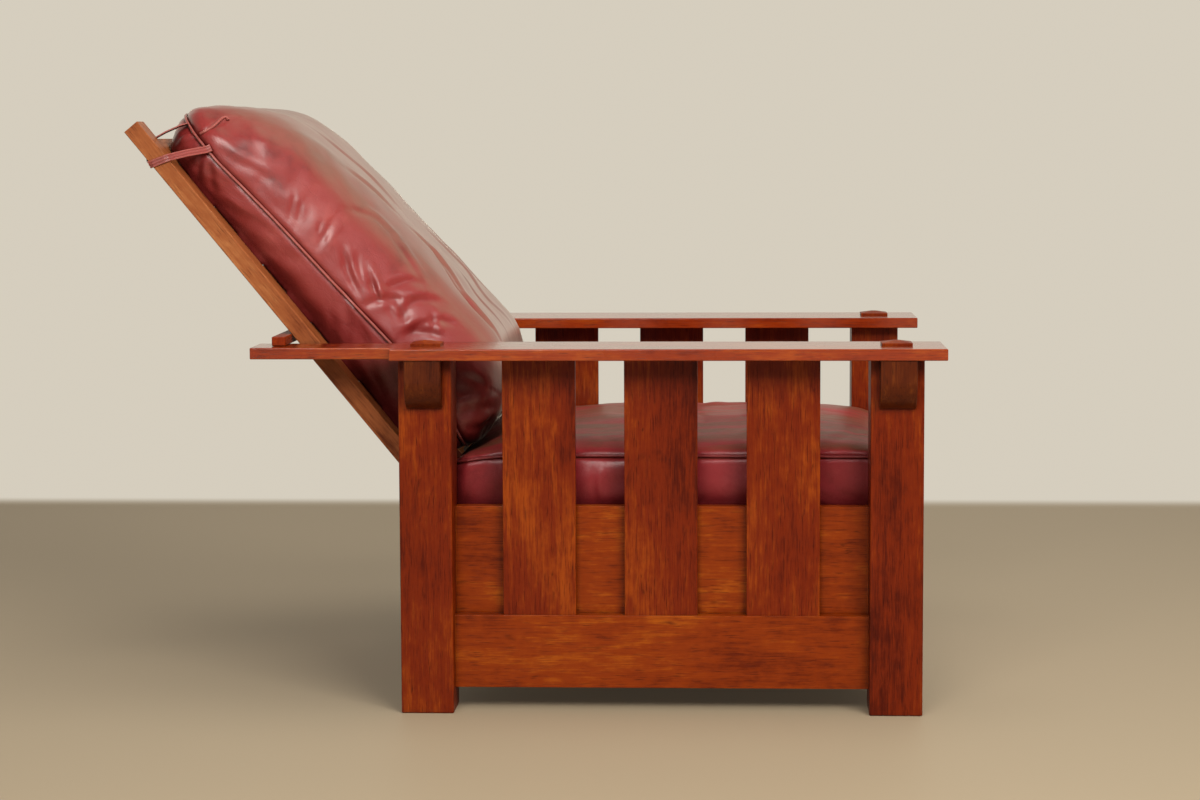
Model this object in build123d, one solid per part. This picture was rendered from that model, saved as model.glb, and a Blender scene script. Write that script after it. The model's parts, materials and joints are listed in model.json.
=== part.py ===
from build123d import *
import math
import os

# Mission reclining armchair. Millimetres, +Z up, front towards -Y, origin on the floor
# under the middle of the whole chair at rest. Left and right are the sitter's.

# Overall sizes
chair_width = 845.0
depth_over_posts = 790.0
arm_top_height = 559.0

# Fits and overruns
cut_overrun = 5.0
joint_clearance = 0.1
body_gap = 0.3
cushion_gap = 0.4
hair_gap = 0.02

# Posts
post_size = 80.0
post_ease = 2.0
foot_ease = 1.5
cap_tenon_size = 46.0
cap_tenon_proud = 4.5
cap_tenon_point = 3.5
cap_tenon_tip = 8.0

# Arms, with a narrow tail behind the rear posts
arm_thickness = 17.5
arm_width = 154.0
arm_front_overhang = 32.0
arm_side_overhang = 37.0
arm_step_setback = 9.0
arm_ease = 1.8
tail_outer_inset = 30.0
tail_post_lap = 2.0
tail_end_margin = 39.0

# Corbels under the arms, one on each post's outer face
corbel_width = 54.0
corbel_height = 74.0
corbel_depth = 34.0
corbel_foot = 5.0
corbel_face_share = 0.45
corbel_bulge_share = 0.17
corbel_ease = 1.0

# Lower side rails
lower_rail_bottom = 35.0
lower_rail_height = 112.0
lower_rail_thickness = 22.0
lower_rail_inset = 29.0
lower_tenon_thickness = 16.0
lower_tenon_low_shoulder = 26.0
lower_tenon_high_shoulder = 3.0
lower_tenon_projection = 2.0
rail_ease = 1.2

# Seat rails
seat_rail_top = 312.0
seat_rail_height = 175.0
seat_rail_thickness = 22.0
seat_front_rail_inset = 10.0
seat_rear_rail_drop = 12.0
rail_tenon_length = 25.0
rail_tenon_thickness = 12.0
rail_tenon_shoulder = 10.0

# Upright slats under each arm
side_slat_count = 3
side_slat_width = 111.0
side_slat_thickness = 14.0
side_slat_setback = 3.0
side_slat_tenon_thickness = 8.0
side_slat_tenon_length = 9.0
side_slat_shoulder = 4.0
side_slat_ease = 1.0

# Seat deck
deck_drop = 22.0
deck_slat_count = 6
deck_slat_width = 70.0
deck_slat_thickness = 15.0
cleat_size = 22.0
deck_ease = 1.0

# Pivot of the back in the rear posts, above the rear seat rail
pivot_pin_radius = 6.0
pivot_pin_depth = 40.0
pivot_running_gap = 0.05
washer_radius = 15.0
washer_ease = 1.0

# Back frame, reclined against the support bar
recline_angle = 50.7
back_side_gap = 6.0
stile_thickness = 26.0
stile_width = 48.0
stile_top = 723.0
stile_foot = 20.0
stile_foot_round = 9.0
stile_foot_gap = 8.15
stile_ease = 1.5
crest_drop = 33.0
crest_height = 75.0
back_slat_count = 4
back_slat_height = 55.0
back_slat_thickness = 14.0
back_slat_setback = 1.0
back_slat_tenon = 15.0
bottom_slat_start = 24.0
bottom_slat_height = 60.0

# Support bar across the arm tails, with its pins and their rows of holes
bar_depth = 21.0
bar_height = 14.0
bar_ease = 1.5
bar_end_inset = 62.0
bar_pin_radius = 5.0
bar_pin_end_inset = 22.0
bar_pin_front_inset = 7.5
bar_pin_in_bar = 7.5
bar_hole_depth = 13.5
bar_hole_end_gap = 1.0
bar_hole_count = 4
bar_hole_pitch = 40.0

# Seat cushion
seat_side_gap = 3.0
seat_front_gap = 4.0
seat_rear_reach = 12.0
seat_height = 145.7
seat_corner = 26.0
seat_draw = 5.0
# Front inset, front height, rear inset, rear height, side inset and corner of each
# ring, as shares of the cushion's depth, height, depth, height, width and corner
seat_ring_shares = (
    (0.007, 0.0, 0.007, 0.0, 0.008, 0.8),
    (0.0, 0.31, 0.0, 0.26, 0.0, 1.0),
    (0.003, 0.64, 0.005, 0.5, 0.003, 1.15),
    (0.013, 0.73, 0.089, 0.6, 0.013, 1.9),
    (0.046, 0.835, 0.137, 0.76, 0.053, 3.1),
    (0.11, 0.92, 0.188, 0.89, 0.14, 3.9),
    (0.215, 0.975, 0.26, 0.96, 0.24, 3.9),
    (0.345, 1.0, 0.37, 0.992, 0.365, 2.9),
)
seat_seam_ring = 2

# Back cushion, from the frame's front face to its crown
back_cushion_side_gap = 5.5
back_cushion_start = 22.0
back_cushion_length = 680.0
back_cushion_thickness = 211.0
back_cushion_low_corner = 42.0
back_cushion_top_corner = 92.0
back_cushion_draw = 5.0
# Low inset, low height, top inset, top height, side inset and corner of each ring,
# as shares of the cushion's length, thickness, length, thickness, width and corner
back_ring_shares = (
    (0.034, 0.0, 0.043, 0.0, 0.025, 0.6),
    (0.003, 0.185, 0.006, 0.13, 0.005, 0.9),
    (0.0, 0.37, 0.004, 0.228, 0.0, 1.0),
    (0.018, 0.56, 0.018, 0.37, 0.008, 0.85),
    (0.035, 0.71, 0.056, 0.53, 0.025, 0.9),
    (0.068, 0.863, 0.109, 0.695, 0.059, 1.0),
    (0.104, 0.96, 0.16, 0.79, 0.11, 1.08),
    (0.174, 0.992, 0.253, 0.858, 0.186, 1.08),
    (0.276, 1.0, 0.385, 0.92, 0.31, 0.75),
)
back_seam_ring = 2

# Leather loops that tie the cushion's top corners to the stiles
strap_radius = 2.5
strap_bend = 9.0
strap_outer_low = 651.0
strap_outer_high = 659.0
strap_cushion_low = 620.0
strap_cushion_high = 687.0
strap_cushion_gap = 4.0
strap_inner_inset = 8.0

# Places that follow from the sizes above
half_width = chair_width / 2
post_out_x = half_width - arm_side_overhang
post_in_x = post_out_x - post_size
post_top_z = arm_top_height - arm_thickness
arm_in_x = half_width - arm_width
back_cushion_width = 2 * (arm_in_x - back_cushion_side_gap)
stile_out_x = post_in_x - back_side_gap
stile_in_x = stile_out_x - stile_width
rear_rail_top_z = seat_rail_top - seat_rear_rail_drop
foot_reach = math.hypot(stile_foot, stile_thickness / 2)
pivot_height = rear_rail_top_z + foot_reach + stile_foot_gap
recline = math.radians(recline_angle)
up_back_y = math.cos(recline)
up_back_z = math.sin(recline)

# Distances behind the front posts' front faces
rear_post_front = depth_over_posts - post_size
pivot_setback = depth_over_posts - post_size / 2
bar_round_z = arm_top_height + body_gap + bar_height - bar_ease
bar_reach = stile_thickness / 2 + body_gap + bar_ease
bar_round_setback = pivot_setback + (bar_reach + up_back_y * (bar_round_z - pivot_height)) / up_back_z
bar_front_setback = bar_round_setback - bar_ease
arm_end_setback = bar_front_setback + bar_depth / 2 + tail_end_margin
stile_corner_setback = pivot_setback + stile_top * up_back_y + stile_thickness / 2 * up_back_z
front_y = -(stile_corner_setback - arm_front_overhang) / 2

pivot_y = front_y + pivot_setback
rear_post_y = front_y + rear_post_front
rear_end_y = front_y + depth_over_posts
arm_step_y = rear_end_y + arm_step_setback
arm_end_y = front_y + arm_end_setback
bar_front_y = front_y + bar_front_setback
deck_top_z = seat_rail_top - deck_drop
cleat_top_z = deck_top_z - deck_slat_thickness
front_rail_y = front_y + seat_front_rail_inset
rear_rail_y = pivot_y - seat_rail_thickness / 2
lower_rail_x = post_out_x - lower_rail_inset
seat_side_rail_x = lower_rail_x - lower_rail_thickness


def block(x_low, x_high, y_low, y_high, z_low, z_high):
    """A box between two corners."""
    size = (x_high - x_low, y_high - y_low, z_high - z_low)
    middle = ((x_low + x_high) / 2, (y_low + y_high) / 2, (z_low + z_high) / 2)
    return Pos(*middle) * Box(*size)


def eased_block(x_low, x_high, y_low, y_high, z_low, z_high, ease):
    """A box between two corners with all its edges rounded."""
    solid = block(x_low, x_high, y_low, y_high, z_low, z_high)
    return fillet(solid.edges(), ease)


def grown(low, high, by):
    """A span made longer by the same amount at both ends."""
    return low - by, high + by


def rod(start, direction, radius, length):
    """A round rod from a point, along a direction."""
    return Plane(origin=start, z_dir=direction) * Cylinder(
        radius, length, align=(Align.CENTER, Align.CENTER, Align.MIN)
    )


def on_back(shape):
    """Put a shape made upright about the pivot into the reclined back's place."""
    return Pos(0, pivot_y, pivot_height) * Rot(recline_angle - 90, 0, 0) * shape


def mirrored(shape):
    """The other side's copy of a piece."""
    return mirror(shape, about=Plane.YZ)


def side_rail_tenon(post_y, clearance):
    """The blind tenon of a seat side rail, in the front or the rear post."""
    x_high = seat_side_rail_x - (seat_rail_thickness - rail_tenon_thickness) / 2
    x_span = grown(x_high - rail_tenon_thickness, x_high, clearance)
    z_low = seat_rail_top - seat_rail_height + rail_tenon_shoulder
    z_span = grown(z_low, seat_rail_top - rail_tenon_shoulder, clearance)
    if post_y == front_y:
        y_span = (front_y + post_size - rail_tenon_length - clearance, front_y + post_size)
    else:
        y_span = (rear_post_y, rear_post_y + rail_tenon_length + clearance)
    return block(*x_span, *y_span, *z_span)


def cross_rail_tenon(rail_y, top_z, clearance):
    """The left blind tenon of the front or the rear seat rail, in a post's inner face."""
    y_low = rail_y + (seat_rail_thickness - rail_tenon_thickness) / 2
    y_span = grown(y_low, y_low + rail_tenon_thickness, clearance)
    z_low = seat_rail_top - seat_rail_height + rail_tenon_shoulder
    z_span = grown(z_low, top_z - rail_tenon_shoulder, clearance)
    return block(post_in_x, post_in_x + rail_tenon_length + clearance, *y_span, *z_span)


def lower_tenon(y_low, y_high, clearance):
    """A length of the lower rail's tenon."""
    x_high = lower_rail_x - (lower_rail_thickness - lower_tenon_thickness) / 2
    x_span = grown(x_high - lower_tenon_thickness, x_high, clearance)
    z_low = lower_rail_bottom + lower_tenon_low_shoulder
    z_high = lower_rail_bottom + lower_rail_height - lower_tenon_high_shoulder
    return block(*x_span, y_low, y_high, *grown(z_low, z_high, clearance))


def post_body(post_y):
    """A post with eased edges and the pointed tenon that comes up through the arm."""
    shaft = block(post_in_x, post_out_x, post_y, post_y + post_size, 0, post_top_z)
    shaft = fillet(shaft.edges().filter_by(Axis.Z), post_ease)
    shaft = chamfer(shaft.edges().group_by(Axis.Z)[0], foot_ease)
    x_middle = (post_in_x + post_out_x) / 2
    y_middle = post_y + post_size / 2
    shoulder_z = arm_top_height + cap_tenon_proud
    half = cap_tenon_size / 2
    tenon = block(x_middle - half, x_middle + half, y_middle - half, y_middle + half, post_top_z, shoulder_z)
    base = Pos(x_middle, y_middle, shoulder_z) * Rectangle(cap_tenon_size, cap_tenon_size)
    tip = Pos(x_middle, y_middle, shoulder_z + cap_tenon_point) * Rectangle(cap_tenon_tip, cap_tenon_tip)
    return shaft + tenon + loft([base, tip])


def front_post():
    """The left front post, mortised for its rails."""
    solid = post_body(front_y) - side_rail_tenon(front_y, joint_clearance)
    solid -= cross_rail_tenon(front_rail_y, seat_rail_top, joint_clearance)
    solid -= lower_tenon(front_y - cut_overrun, front_y + post_size + cut_overrun, joint_clearance)
    return solid


def rear_post():
    """The left rear post, mortised for its rails and bored for the pivot pin."""
    solid = post_body(rear_post_y) - side_rail_tenon(rear_post_y, joint_clearance)
    solid -= cross_rail_tenon(rear_rail_y, rear_rail_top_z, joint_clearance)
    solid -= lower_tenon(rear_post_y, rear_post_y + rail_tenon_length + joint_clearance, joint_clearance)
    bore_start = (post_in_x - cut_overrun, pivot_y, pivot_height)
    bore_length = cut_overrun + pivot_pin_depth + joint_clearance
    return solid - rod(bore_start, (1, 0, 0), pivot_pin_radius + hair_gap, bore_length)


def side_slat_places():
    """The front edge of each upright slat, evenly spaced between the posts."""
    opening = depth_over_posts - 2 * post_size
    space = (opening - side_slat_count * side_slat_width) / (side_slat_count + 1)
    first = front_y + post_size + space
    return [first + place * (side_slat_width + space) for place in range(side_slat_count)]


def slat_tenon(slat_y, z_low, z_high, clearance):
    """The thin end of an upright slat, or with a clearance its mortise."""
    x_high = lower_rail_x - side_slat_setback - (side_slat_thickness - side_slat_tenon_thickness) / 2
    x_span = grown(x_high - side_slat_tenon_thickness, x_high, clearance)
    y_span = grown(slat_y + side_slat_shoulder, slat_y + side_slat_width - side_slat_shoulder, clearance)
    return block(*x_span, *y_span, z_low, z_high)


def side_slat(slat_y):
    """An upright slat between the lower rail and the left arm."""
    x_high = lower_rail_x - side_slat_setback
    z_low = lower_rail_bottom + lower_rail_height
    face = block(x_high - side_slat_thickness, x_high, slat_y, slat_y + side_slat_width, z_low, post_top_z)
    face = fillet(face.edges().filter_by(Axis.Z), side_slat_ease)
    foot = slat_tenon(slat_y, z_low - side_slat_tenon_length, z_low, 0)
    head = slat_tenon(slat_y, post_top_z, post_top_z + side_slat_tenon_length, 0)
    return face + foot + head


def bar_hole_places():
    """Where each pin hole's axis meets the arm's top, from the last hole forwards."""
    last = bar_front_y + bar_pin_front_inset
    return [last - place * bar_hole_pitch for place in range(bar_hole_count)]


def pin_line(y_place, below):
    """A point on a slanting pin's axis, this far below the arm's top along the axis."""
    x_place = half_width - bar_end_inset - bar_pin_end_inset
    return (x_place, y_place - below * up_back_y, arm_top_height - below * up_back_z)


def arm():
    """The left arm: a flat board, stepped in on both sides behind the rear post."""
    tail_out_x = half_width - tail_outer_inset
    tail_in_x = post_in_x - tail_post_lap
    arm_front_y = front_y - arm_front_overhang
    outline = Polyline(
        (arm_in_x, arm_front_y),
        (half_width, arm_front_y),
        (half_width, arm_step_y),
        (tail_out_x, arm_step_y),
        (tail_out_x, arm_end_y),
        (tail_in_x, arm_end_y),
        (tail_in_x, arm_step_y),
        (arm_in_x, arm_step_y),
        close=True,
    )
    board = Pos(0, 0, post_top_z) * extrude(make_face(outline), arm_thickness)
    board = fillet(board.edges(), arm_ease)
    x_middle = (post_in_x + post_out_x) / 2
    hole_size = cap_tenon_size + 2 * joint_clearance
    for post_y in (front_y, rear_post_y):
        hole = Box(hole_size, hole_size, arm_thickness + 2 * cut_overrun)
        board -= Pos(x_middle, post_y + post_size / 2, arm_top_height - arm_thickness / 2) * hole
    for slat_y in side_slat_places():
        top_z = post_top_z + side_slat_tenon_length + joint_clearance
        board -= slat_tenon(slat_y, post_top_z - cut_overrun, top_z, joint_clearance)
    for hole_y in bar_hole_places():
        start = pin_line(hole_y, bar_hole_depth)
        length = bar_hole_depth + 2 * cut_overrun
        board -= rod(start, (0, up_back_y, up_back_z), bar_pin_radius + body_gap, length)
    return board


def corbel(post_y):
    """A bracket under the arm: upright at the top, rounded in to the post below."""
    low_z = post_top_z - corbel_height
    turn_z = post_top_z - corbel_height * corbel_face_share
    face_x = post_out_x + corbel_depth
    foot_x = post_out_x + corbel_foot
    bulge = (face_x - foot_x) * corbel_bulge_share
    middle = ((face_x + foot_x) / 2 + bulge, (turn_z + low_z) / 2 - bulge)
    with BuildSketch(Plane.XZ) as side:
        with BuildLine():
            Polyline(
                (foot_x, low_z),
                (post_out_x, low_z),
                (post_out_x, post_top_z),
                (face_x, post_top_z),
                (face_x, turn_z),
            )
            ThreePointArc((face_x, turn_z), middle, (foot_x, low_z))
        make_face()
    start_y = post_y + (post_size + corbel_width) / 2
    solid = Pos(0, start_y, 0) * extrude(side.sketch, corbel_width)
    outer = solid.edges().filter_by(Axis.Z).group_by(Axis.X)[-1]
    return fillet(outer, corbel_ease)


def lower_rail():
    """The left lower side rail, tenoned right through the front post."""
    z_high = lower_rail_bottom + lower_rail_height
    x_low = lower_rail_x - lower_rail_thickness
    front = front_y + post_size
    board = block(x_low, lower_rail_x, front, rear_post_y, lower_rail_bottom, z_high)
    board = fillet(board.edges().filter_by(Axis.Y), rail_ease)
    board += lower_tenon(front_y - lower_tenon_projection, front, 0)
    board += lower_tenon(rear_post_y, rear_post_y + rail_tenon_length, 0)
    for slat_y in side_slat_places():
        low_z = z_high - side_slat_tenon_length - joint_clearance
        board -= slat_tenon(slat_y, low_z, z_high + cut_overrun, joint_clearance)
    return board


def seat_side_rail():
    """The deep left seat rail behind the slats, with a blind tenon at each end."""
    x_low = seat_side_rail_x - seat_rail_thickness
    z_low = seat_rail_top - seat_rail_height
    board = block(x_low, seat_side_rail_x, front_y + post_size, rear_post_y, z_low, seat_rail_top)
    board = fillet(board.edges().filter_by(Axis.Y), rail_ease)
    return board + side_rail_tenon(front_y, 0) + side_rail_tenon(rear_post_y, 0)


def seat_cross_rail(rail_y, top_z):
    """The front or the rear seat rail, with blind tenons in both posts."""
    z_low = seat_rail_top - seat_rail_height
    board = block(-post_in_x, post_in_x, rail_y, rail_y + seat_rail_thickness, z_low, top_z)
    board = fillet(board.edges().filter_by(Axis.X), rail_ease)
    tenon = cross_rail_tenon(rail_y, top_z, 0)
    return board + tenon + mirrored(tenon)


def seat_cleat(y_low):
    """A strip along the inner face of a seat rail that carries the deck slats."""
    x_high = post_in_x - joint_clearance
    z_low = cleat_top_z - cleat_size
    return eased_block(-x_high, x_high, y_low, y_low + cleat_size, z_low, cleat_top_z, deck_ease)


def deck_slat(place):
    """One of the flat slats that run from front to back under the cushion."""
    space = (2 * post_in_x - deck_slat_count * deck_slat_width) / (deck_slat_count + 1)
    x_low = space * (place + 1) + deck_slat_width * place - post_in_x
    y_low = front_rail_y + seat_rail_thickness + body_gap
    y_high = rear_rail_y - body_gap
    return eased_block(x_low, x_low + deck_slat_width, y_low, y_high, cleat_top_z, deck_top_z, deck_ease)


def pivot_pin():
    """The left pin that the back turns on, driven into the rear post."""
    length = pivot_pin_depth + back_side_gap + stile_width
    return rod((stile_in_x, pivot_y, pivot_height), (1, 0, 0), pivot_pin_radius, length)


def pivot_washer():
    """The left washer that keeps the back frame off the post."""
    thickness = back_side_gap - body_gap
    start = (post_in_x - thickness, pivot_y, pivot_height)
    disc = rod(start, (1, 0, 0), washer_radius, thickness)
    disc = fillet(disc.edges().group_by(Axis.X)[0], washer_ease)
    bore_start = (start[0] - cut_overrun, pivot_y, pivot_height)
    return disc - rod(bore_start, (1, 0, 0), pivot_pin_radius + hair_gap, thickness + 2 * cut_overrun)


def back_slat_spans():
    """The low and high ends of the back's cross slats, from the bottom one to the crest."""
    crest_top = stile_top - crest_drop
    low = bottom_slat_start + bottom_slat_height
    room = crest_top - crest_height - low - back_slat_count * back_slat_height
    space = room / (back_slat_count + 1)
    spans = [(bottom_slat_start, low)]
    for place in range(back_slat_count):
        start = low + space + place * (back_slat_height + space)
        spans.append((start, start + back_slat_height))
    spans.append((crest_top - crest_height, crest_top))
    return spans


def slat_front_y():
    """The front face of the back's slats, before the back is reclined."""
    return back_slat_setback - stile_thickness / 2


def back_stile():
    """The left stile, bored for the pivot pin and mortised for the slats."""
    half = stile_thickness / 2
    solid = block(stile_in_x, stile_out_x, -half, half, -stile_foot, stile_top)
    solid = fillet(solid.edges().filter_by(Axis.X).group_by(Axis.Z)[0], stile_foot_round)
    solid = fillet(solid.edges().filter_by(Axis.Z), stile_ease)
    bore_start = (stile_in_x - cut_overrun, 0, 0)
    bore_radius = pivot_pin_radius + pivot_running_gap
    solid -= rod(bore_start, (1, 0, 0), bore_radius, stile_width + 2 * cut_overrun)
    y_span = grown(slat_front_y(), slat_front_y() + back_slat_thickness, joint_clearance)
    mortise_end = stile_in_x + back_slat_tenon + joint_clearance
    for low, high in back_slat_spans():
        solid -= block(stile_in_x - cut_overrun, mortise_end, *y_span, *grown(low, high, joint_clearance))
    return on_back(solid)


def back_slat(low, high):
    """A cross slat of the back, its ends let into both stiles."""
    reach = stile_in_x + back_slat_tenon
    front = slat_front_y()
    board = block(-reach, reach, front, front + back_slat_thickness, low, high)
    return on_back(fillet(board.edges().filter_by(Axis.X), side_slat_ease))


def support_bar():
    """The loose bar that the back leans on, bored for its two slanting pins."""
    reach = half_width - bar_end_inset
    low_z = arm_top_height + body_gap
    solid = eased_block(
        -reach, reach, bar_front_y, bar_front_y + bar_depth, low_z, low_z + bar_height, bar_ease
    )
    start = pin_line(bar_hole_places()[0], cut_overrun)
    bore_length = cut_overrun + bar_pin_in_bar + hair_gap
    bore = rod(start, (0, up_back_y, up_back_z), bar_pin_radius + hair_gap, bore_length)
    return solid - bore - mirrored(bore)


def bar_pin():
    """The left pin of the support bar, which slants down and forwards into the arm."""
    start = pin_line(bar_hole_places()[0], bar_hole_depth - bar_hole_end_gap)
    length = bar_hole_depth - bar_hole_end_gap + bar_pin_in_bar
    return rod(start, (0, up_back_y, up_back_z), bar_pin_radius, length)


def drawn_ring(plane, half_x, half_y, low_corner, high_corner, draw):
    """A closed outline of four drawn-in sides and four round corners, on a plane."""
    low_x = half_x - low_corner
    low_y = half_y - low_corner
    low_lean = low_corner * math.sqrt(0.5)
    high_x = half_x - high_corner
    high_y = half_y - high_corner
    high_lean = high_corner * math.sqrt(0.5)
    middle_y = (high_y - low_y) / 2
    sides = (
        ((-low_x, -half_y), (0, draw - half_y), (low_x, -half_y)),
        ((low_x, -half_y), (low_x + low_lean, -low_y - low_lean), (half_x, -low_y)),
        ((half_x, -low_y), (half_x - draw, middle_y), (half_x, high_y)),
        ((half_x, high_y), (high_x + high_lean, high_y + high_lean), (high_x, half_y)),
        ((high_x, half_y), (0, half_y - draw), (-high_x, half_y)),
        ((-high_x, half_y), (-high_x - high_lean, high_y + high_lean), (-half_x, high_y)),
        ((-half_x, high_y), (draw - half_x, middle_y), (-half_x, -low_y)),
        ((-half_x, -low_y), (-low_x - low_lean, -low_y - low_lean), (-low_x, -half_y)),
    )
    return Wire([plane * ThreePointArc(*points) for points in sides])


def stacked(rings, seam):
    """A cushion through its rings: straight up to the seam's ring, then a smooth crown."""
    box = Solid.make_loft(rings[:seam + 1], ruled=True)
    return box + Solid.make_loft(rings[seam:])


def ring_between(low, high, half_x, low_corner, high_corner, draw):
    """A drawn-in outline through two points of the middle plane, each a (y, z) pair."""
    along = (0, high[0] - low[0], high[1] - low[1])
    middle = (0, (low[0] + high[0]) / 2, (low[1] + high[1]) / 2)
    half_y = math.hypot(along[1], along[2]) / 2
    plane = Plane(origin=middle, x_dir=(1, 0, 0), z_dir=(0, -along[2], along[1]))
    room = min(half_x, half_y) / 2
    return drawn_ring(plane, half_x, half_y, min(low_corner, room), min(high_corner, room), draw)


def seat_cushion():
    """The loose seat cushion: boxed, crowned, and lower where the back cushion sits."""
    width = 2 * (post_in_x - seat_side_gap)
    front = front_rail_y + seat_rail_thickness + seat_front_gap
    rear = rear_post_y + seat_rear_reach
    bottom = deck_top_z + body_gap
    rings = []
    for front_in, front_up, rear_in, rear_up, side_in, corner in seat_ring_shares:
        low = (front + front_in * (rear - front), bottom + front_up * seat_height)
        high = (rear - rear_in * (rear - front), bottom + rear_up * seat_height)
        half_x = width / 2 - side_in * width
        radius = seat_corner * corner
        rings.append(ring_between(low, high, half_x, radius, radius, seat_draw))
    return stacked(rings, seat_seam_ring)


def back_cushion():
    """The back cushion: a flat back on the frame, one seam round it and a full front."""
    back = slat_front_y() - cushion_gap
    start = back_cushion_start
    end = start + back_cushion_length
    thickness = back_cushion_thickness - cushion_gap
    rings = []
    for low_in, low_out, top_in, top_out, side_in, corner in back_ring_shares:
        low = (back - low_out * thickness, start + low_in * back_cushion_length)
        high = (back - top_out * thickness, end - top_in * back_cushion_length)
        half_x = back_cushion_width / 2 - side_in * back_cushion_width
        low_radius = back_cushion_low_corner * corner
        top_radius = back_cushion_top_corner * corner
        rings.append(ring_between(low, high, half_x, low_radius, top_radius, back_cushion_draw))
    return on_back(stacked(rings, back_seam_ring))


def strap_loop():
    """The left leather loop: from the cushion's seam round the stile and over the crest."""
    stile_front = -stile_thickness / 2
    off = body_gap + strap_radius
    crest_top = stile_top - crest_drop
    seam_y = stile_front - back_cushion_thickness * back_ring_shares[back_seam_ring][3]
    points = (
        (back_cushion_width / 2 + strap_cushion_gap, seam_y, strap_cushion_low),
        (stile_out_x + off, stile_front - off, strap_outer_low),
        (stile_out_x + off, -stile_front + off, strap_outer_high),
        (stile_in_x - strap_inner_inset, -stile_front + off, crest_top + off),
        (stile_in_x - 2 * strap_inner_inset, stile_front - off, crest_top + off),
        (stile_in_x - 3 * strap_inner_inset, seam_y + strap_radius, strap_cushion_high),
    )
    path = FilletPolyline(*points, radius=(strap_bend, off, strap_bend, strap_bend))
    section = Plane(origin=path @ 0, z_dir=path % 0) * Circle(strap_radius)
    return on_back(sweep(section, path=path))


def pair(parts, name, solid):
    """Store a left piece and its right copy."""
    parts[name + "_left"] = solid
    parts[name + "_right"] = mirrored(solid)


def frame_parts():
    """The pieces that stand still."""
    parts = {}
    pair(parts, "front_post", front_post())
    pair(parts, "rear_post", rear_post())
    pair(parts, "arm", arm())
    pair(parts, "front_corbel", corbel(front_y))
    pair(parts, "rear_corbel", corbel(rear_post_y))
    pair(parts, "lower_side_rail", lower_rail())
    pair(parts, "seat_side_rail", seat_side_rail())
    for place, slat_y in enumerate(side_slat_places(), start=1):
        pair(parts, "side_slat_" + str(place), side_slat(slat_y))
    parts["seat_front_rail"] = seat_cross_rail(front_rail_y, seat_rail_top)
    parts["seat_rear_rail"] = seat_cross_rail(rear_rail_y, rear_rail_top_z)
    parts["seat_front_cleat"] = seat_cleat(front_rail_y + seat_rail_thickness)
    parts["seat_rear_cleat"] = seat_cleat(rear_rail_y - cleat_size)
    for place in range(deck_slat_count):
        parts["seat_deck_slat_" + str(place + 1)] = deck_slat(place)
    pair(parts, "pivot_pin", pivot_pin())
    pair(parts, "pivot_washer", pivot_washer())
    parts["seat_cushion"] = seat_cushion()
    return parts


def back_parts():
    """The pieces that recline."""
    parts = {}
    pair(parts, "back_stile", back_stile())
    spans = back_slat_spans()
    parts["back_bottom_slat"] = back_slat(*spans[0])
    for place, span in enumerate(spans[1:-1], start=1):
        parts["back_slat_" + str(place)] = back_slat(*span)
    parts["back_crest_slat"] = back_slat(*spans[-1])
    parts["back_cushion"] = back_cushion()
    pair(parts, "strap_loop", strap_loop())
    return parts


def bar_parts():
    """The support bar and its pins."""
    parts = {"support_bar": support_bar()}
    pair(parts, "support_bar_pin", bar_pin())
    return parts


def main():
    os.makedirs("parts", exist_ok=True)
    parts = {**frame_parts(), **back_parts(), **bar_parts()}
    for name, solid in parts.items():
        export_step(solid, "parts/" + name + ".step")


main()
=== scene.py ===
import json
import math

import bmesh
import bpy
import numpy as np
from mathutils import Matrix, Vector
from mathutils.bvhtree import BVHTree
from mathutils.kdtree import KDTree
from mathutils.noise import fractal


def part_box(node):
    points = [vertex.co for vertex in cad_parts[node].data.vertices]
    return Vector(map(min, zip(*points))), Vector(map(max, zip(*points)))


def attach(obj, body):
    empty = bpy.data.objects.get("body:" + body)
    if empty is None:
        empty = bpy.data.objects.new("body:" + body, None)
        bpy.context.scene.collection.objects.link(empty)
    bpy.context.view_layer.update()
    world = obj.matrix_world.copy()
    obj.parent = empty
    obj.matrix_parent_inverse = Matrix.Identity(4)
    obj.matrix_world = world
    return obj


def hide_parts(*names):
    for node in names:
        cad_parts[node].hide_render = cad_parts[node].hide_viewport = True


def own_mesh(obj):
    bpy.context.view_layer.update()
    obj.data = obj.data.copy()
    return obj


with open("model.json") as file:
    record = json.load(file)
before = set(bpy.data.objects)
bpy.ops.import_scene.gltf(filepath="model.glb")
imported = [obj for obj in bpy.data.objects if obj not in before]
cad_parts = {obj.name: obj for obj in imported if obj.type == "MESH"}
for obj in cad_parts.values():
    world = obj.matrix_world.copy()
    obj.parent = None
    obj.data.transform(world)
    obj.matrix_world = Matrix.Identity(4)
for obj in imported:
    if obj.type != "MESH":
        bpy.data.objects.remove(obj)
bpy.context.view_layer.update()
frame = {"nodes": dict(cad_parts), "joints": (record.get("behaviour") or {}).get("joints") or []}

# Metres and radians throughout. The chair faces -Y, and left and right are the sitter's.
MM = 0.001
SIDES = {"left": 1, "right": -1}

# Camera, on the sitter's right
CAMERA_PLACE = (-4.45025, -0.3132, 0.87458)
CAMERA_HEADING = math.radians(-90) + 0.0505
CAMERA_PITCH = -0.0967
CAMERA_ROLL = -0.0045
CAMERA_LENS = 81.69
CAMERA_SENSOR = 36.0

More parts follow.
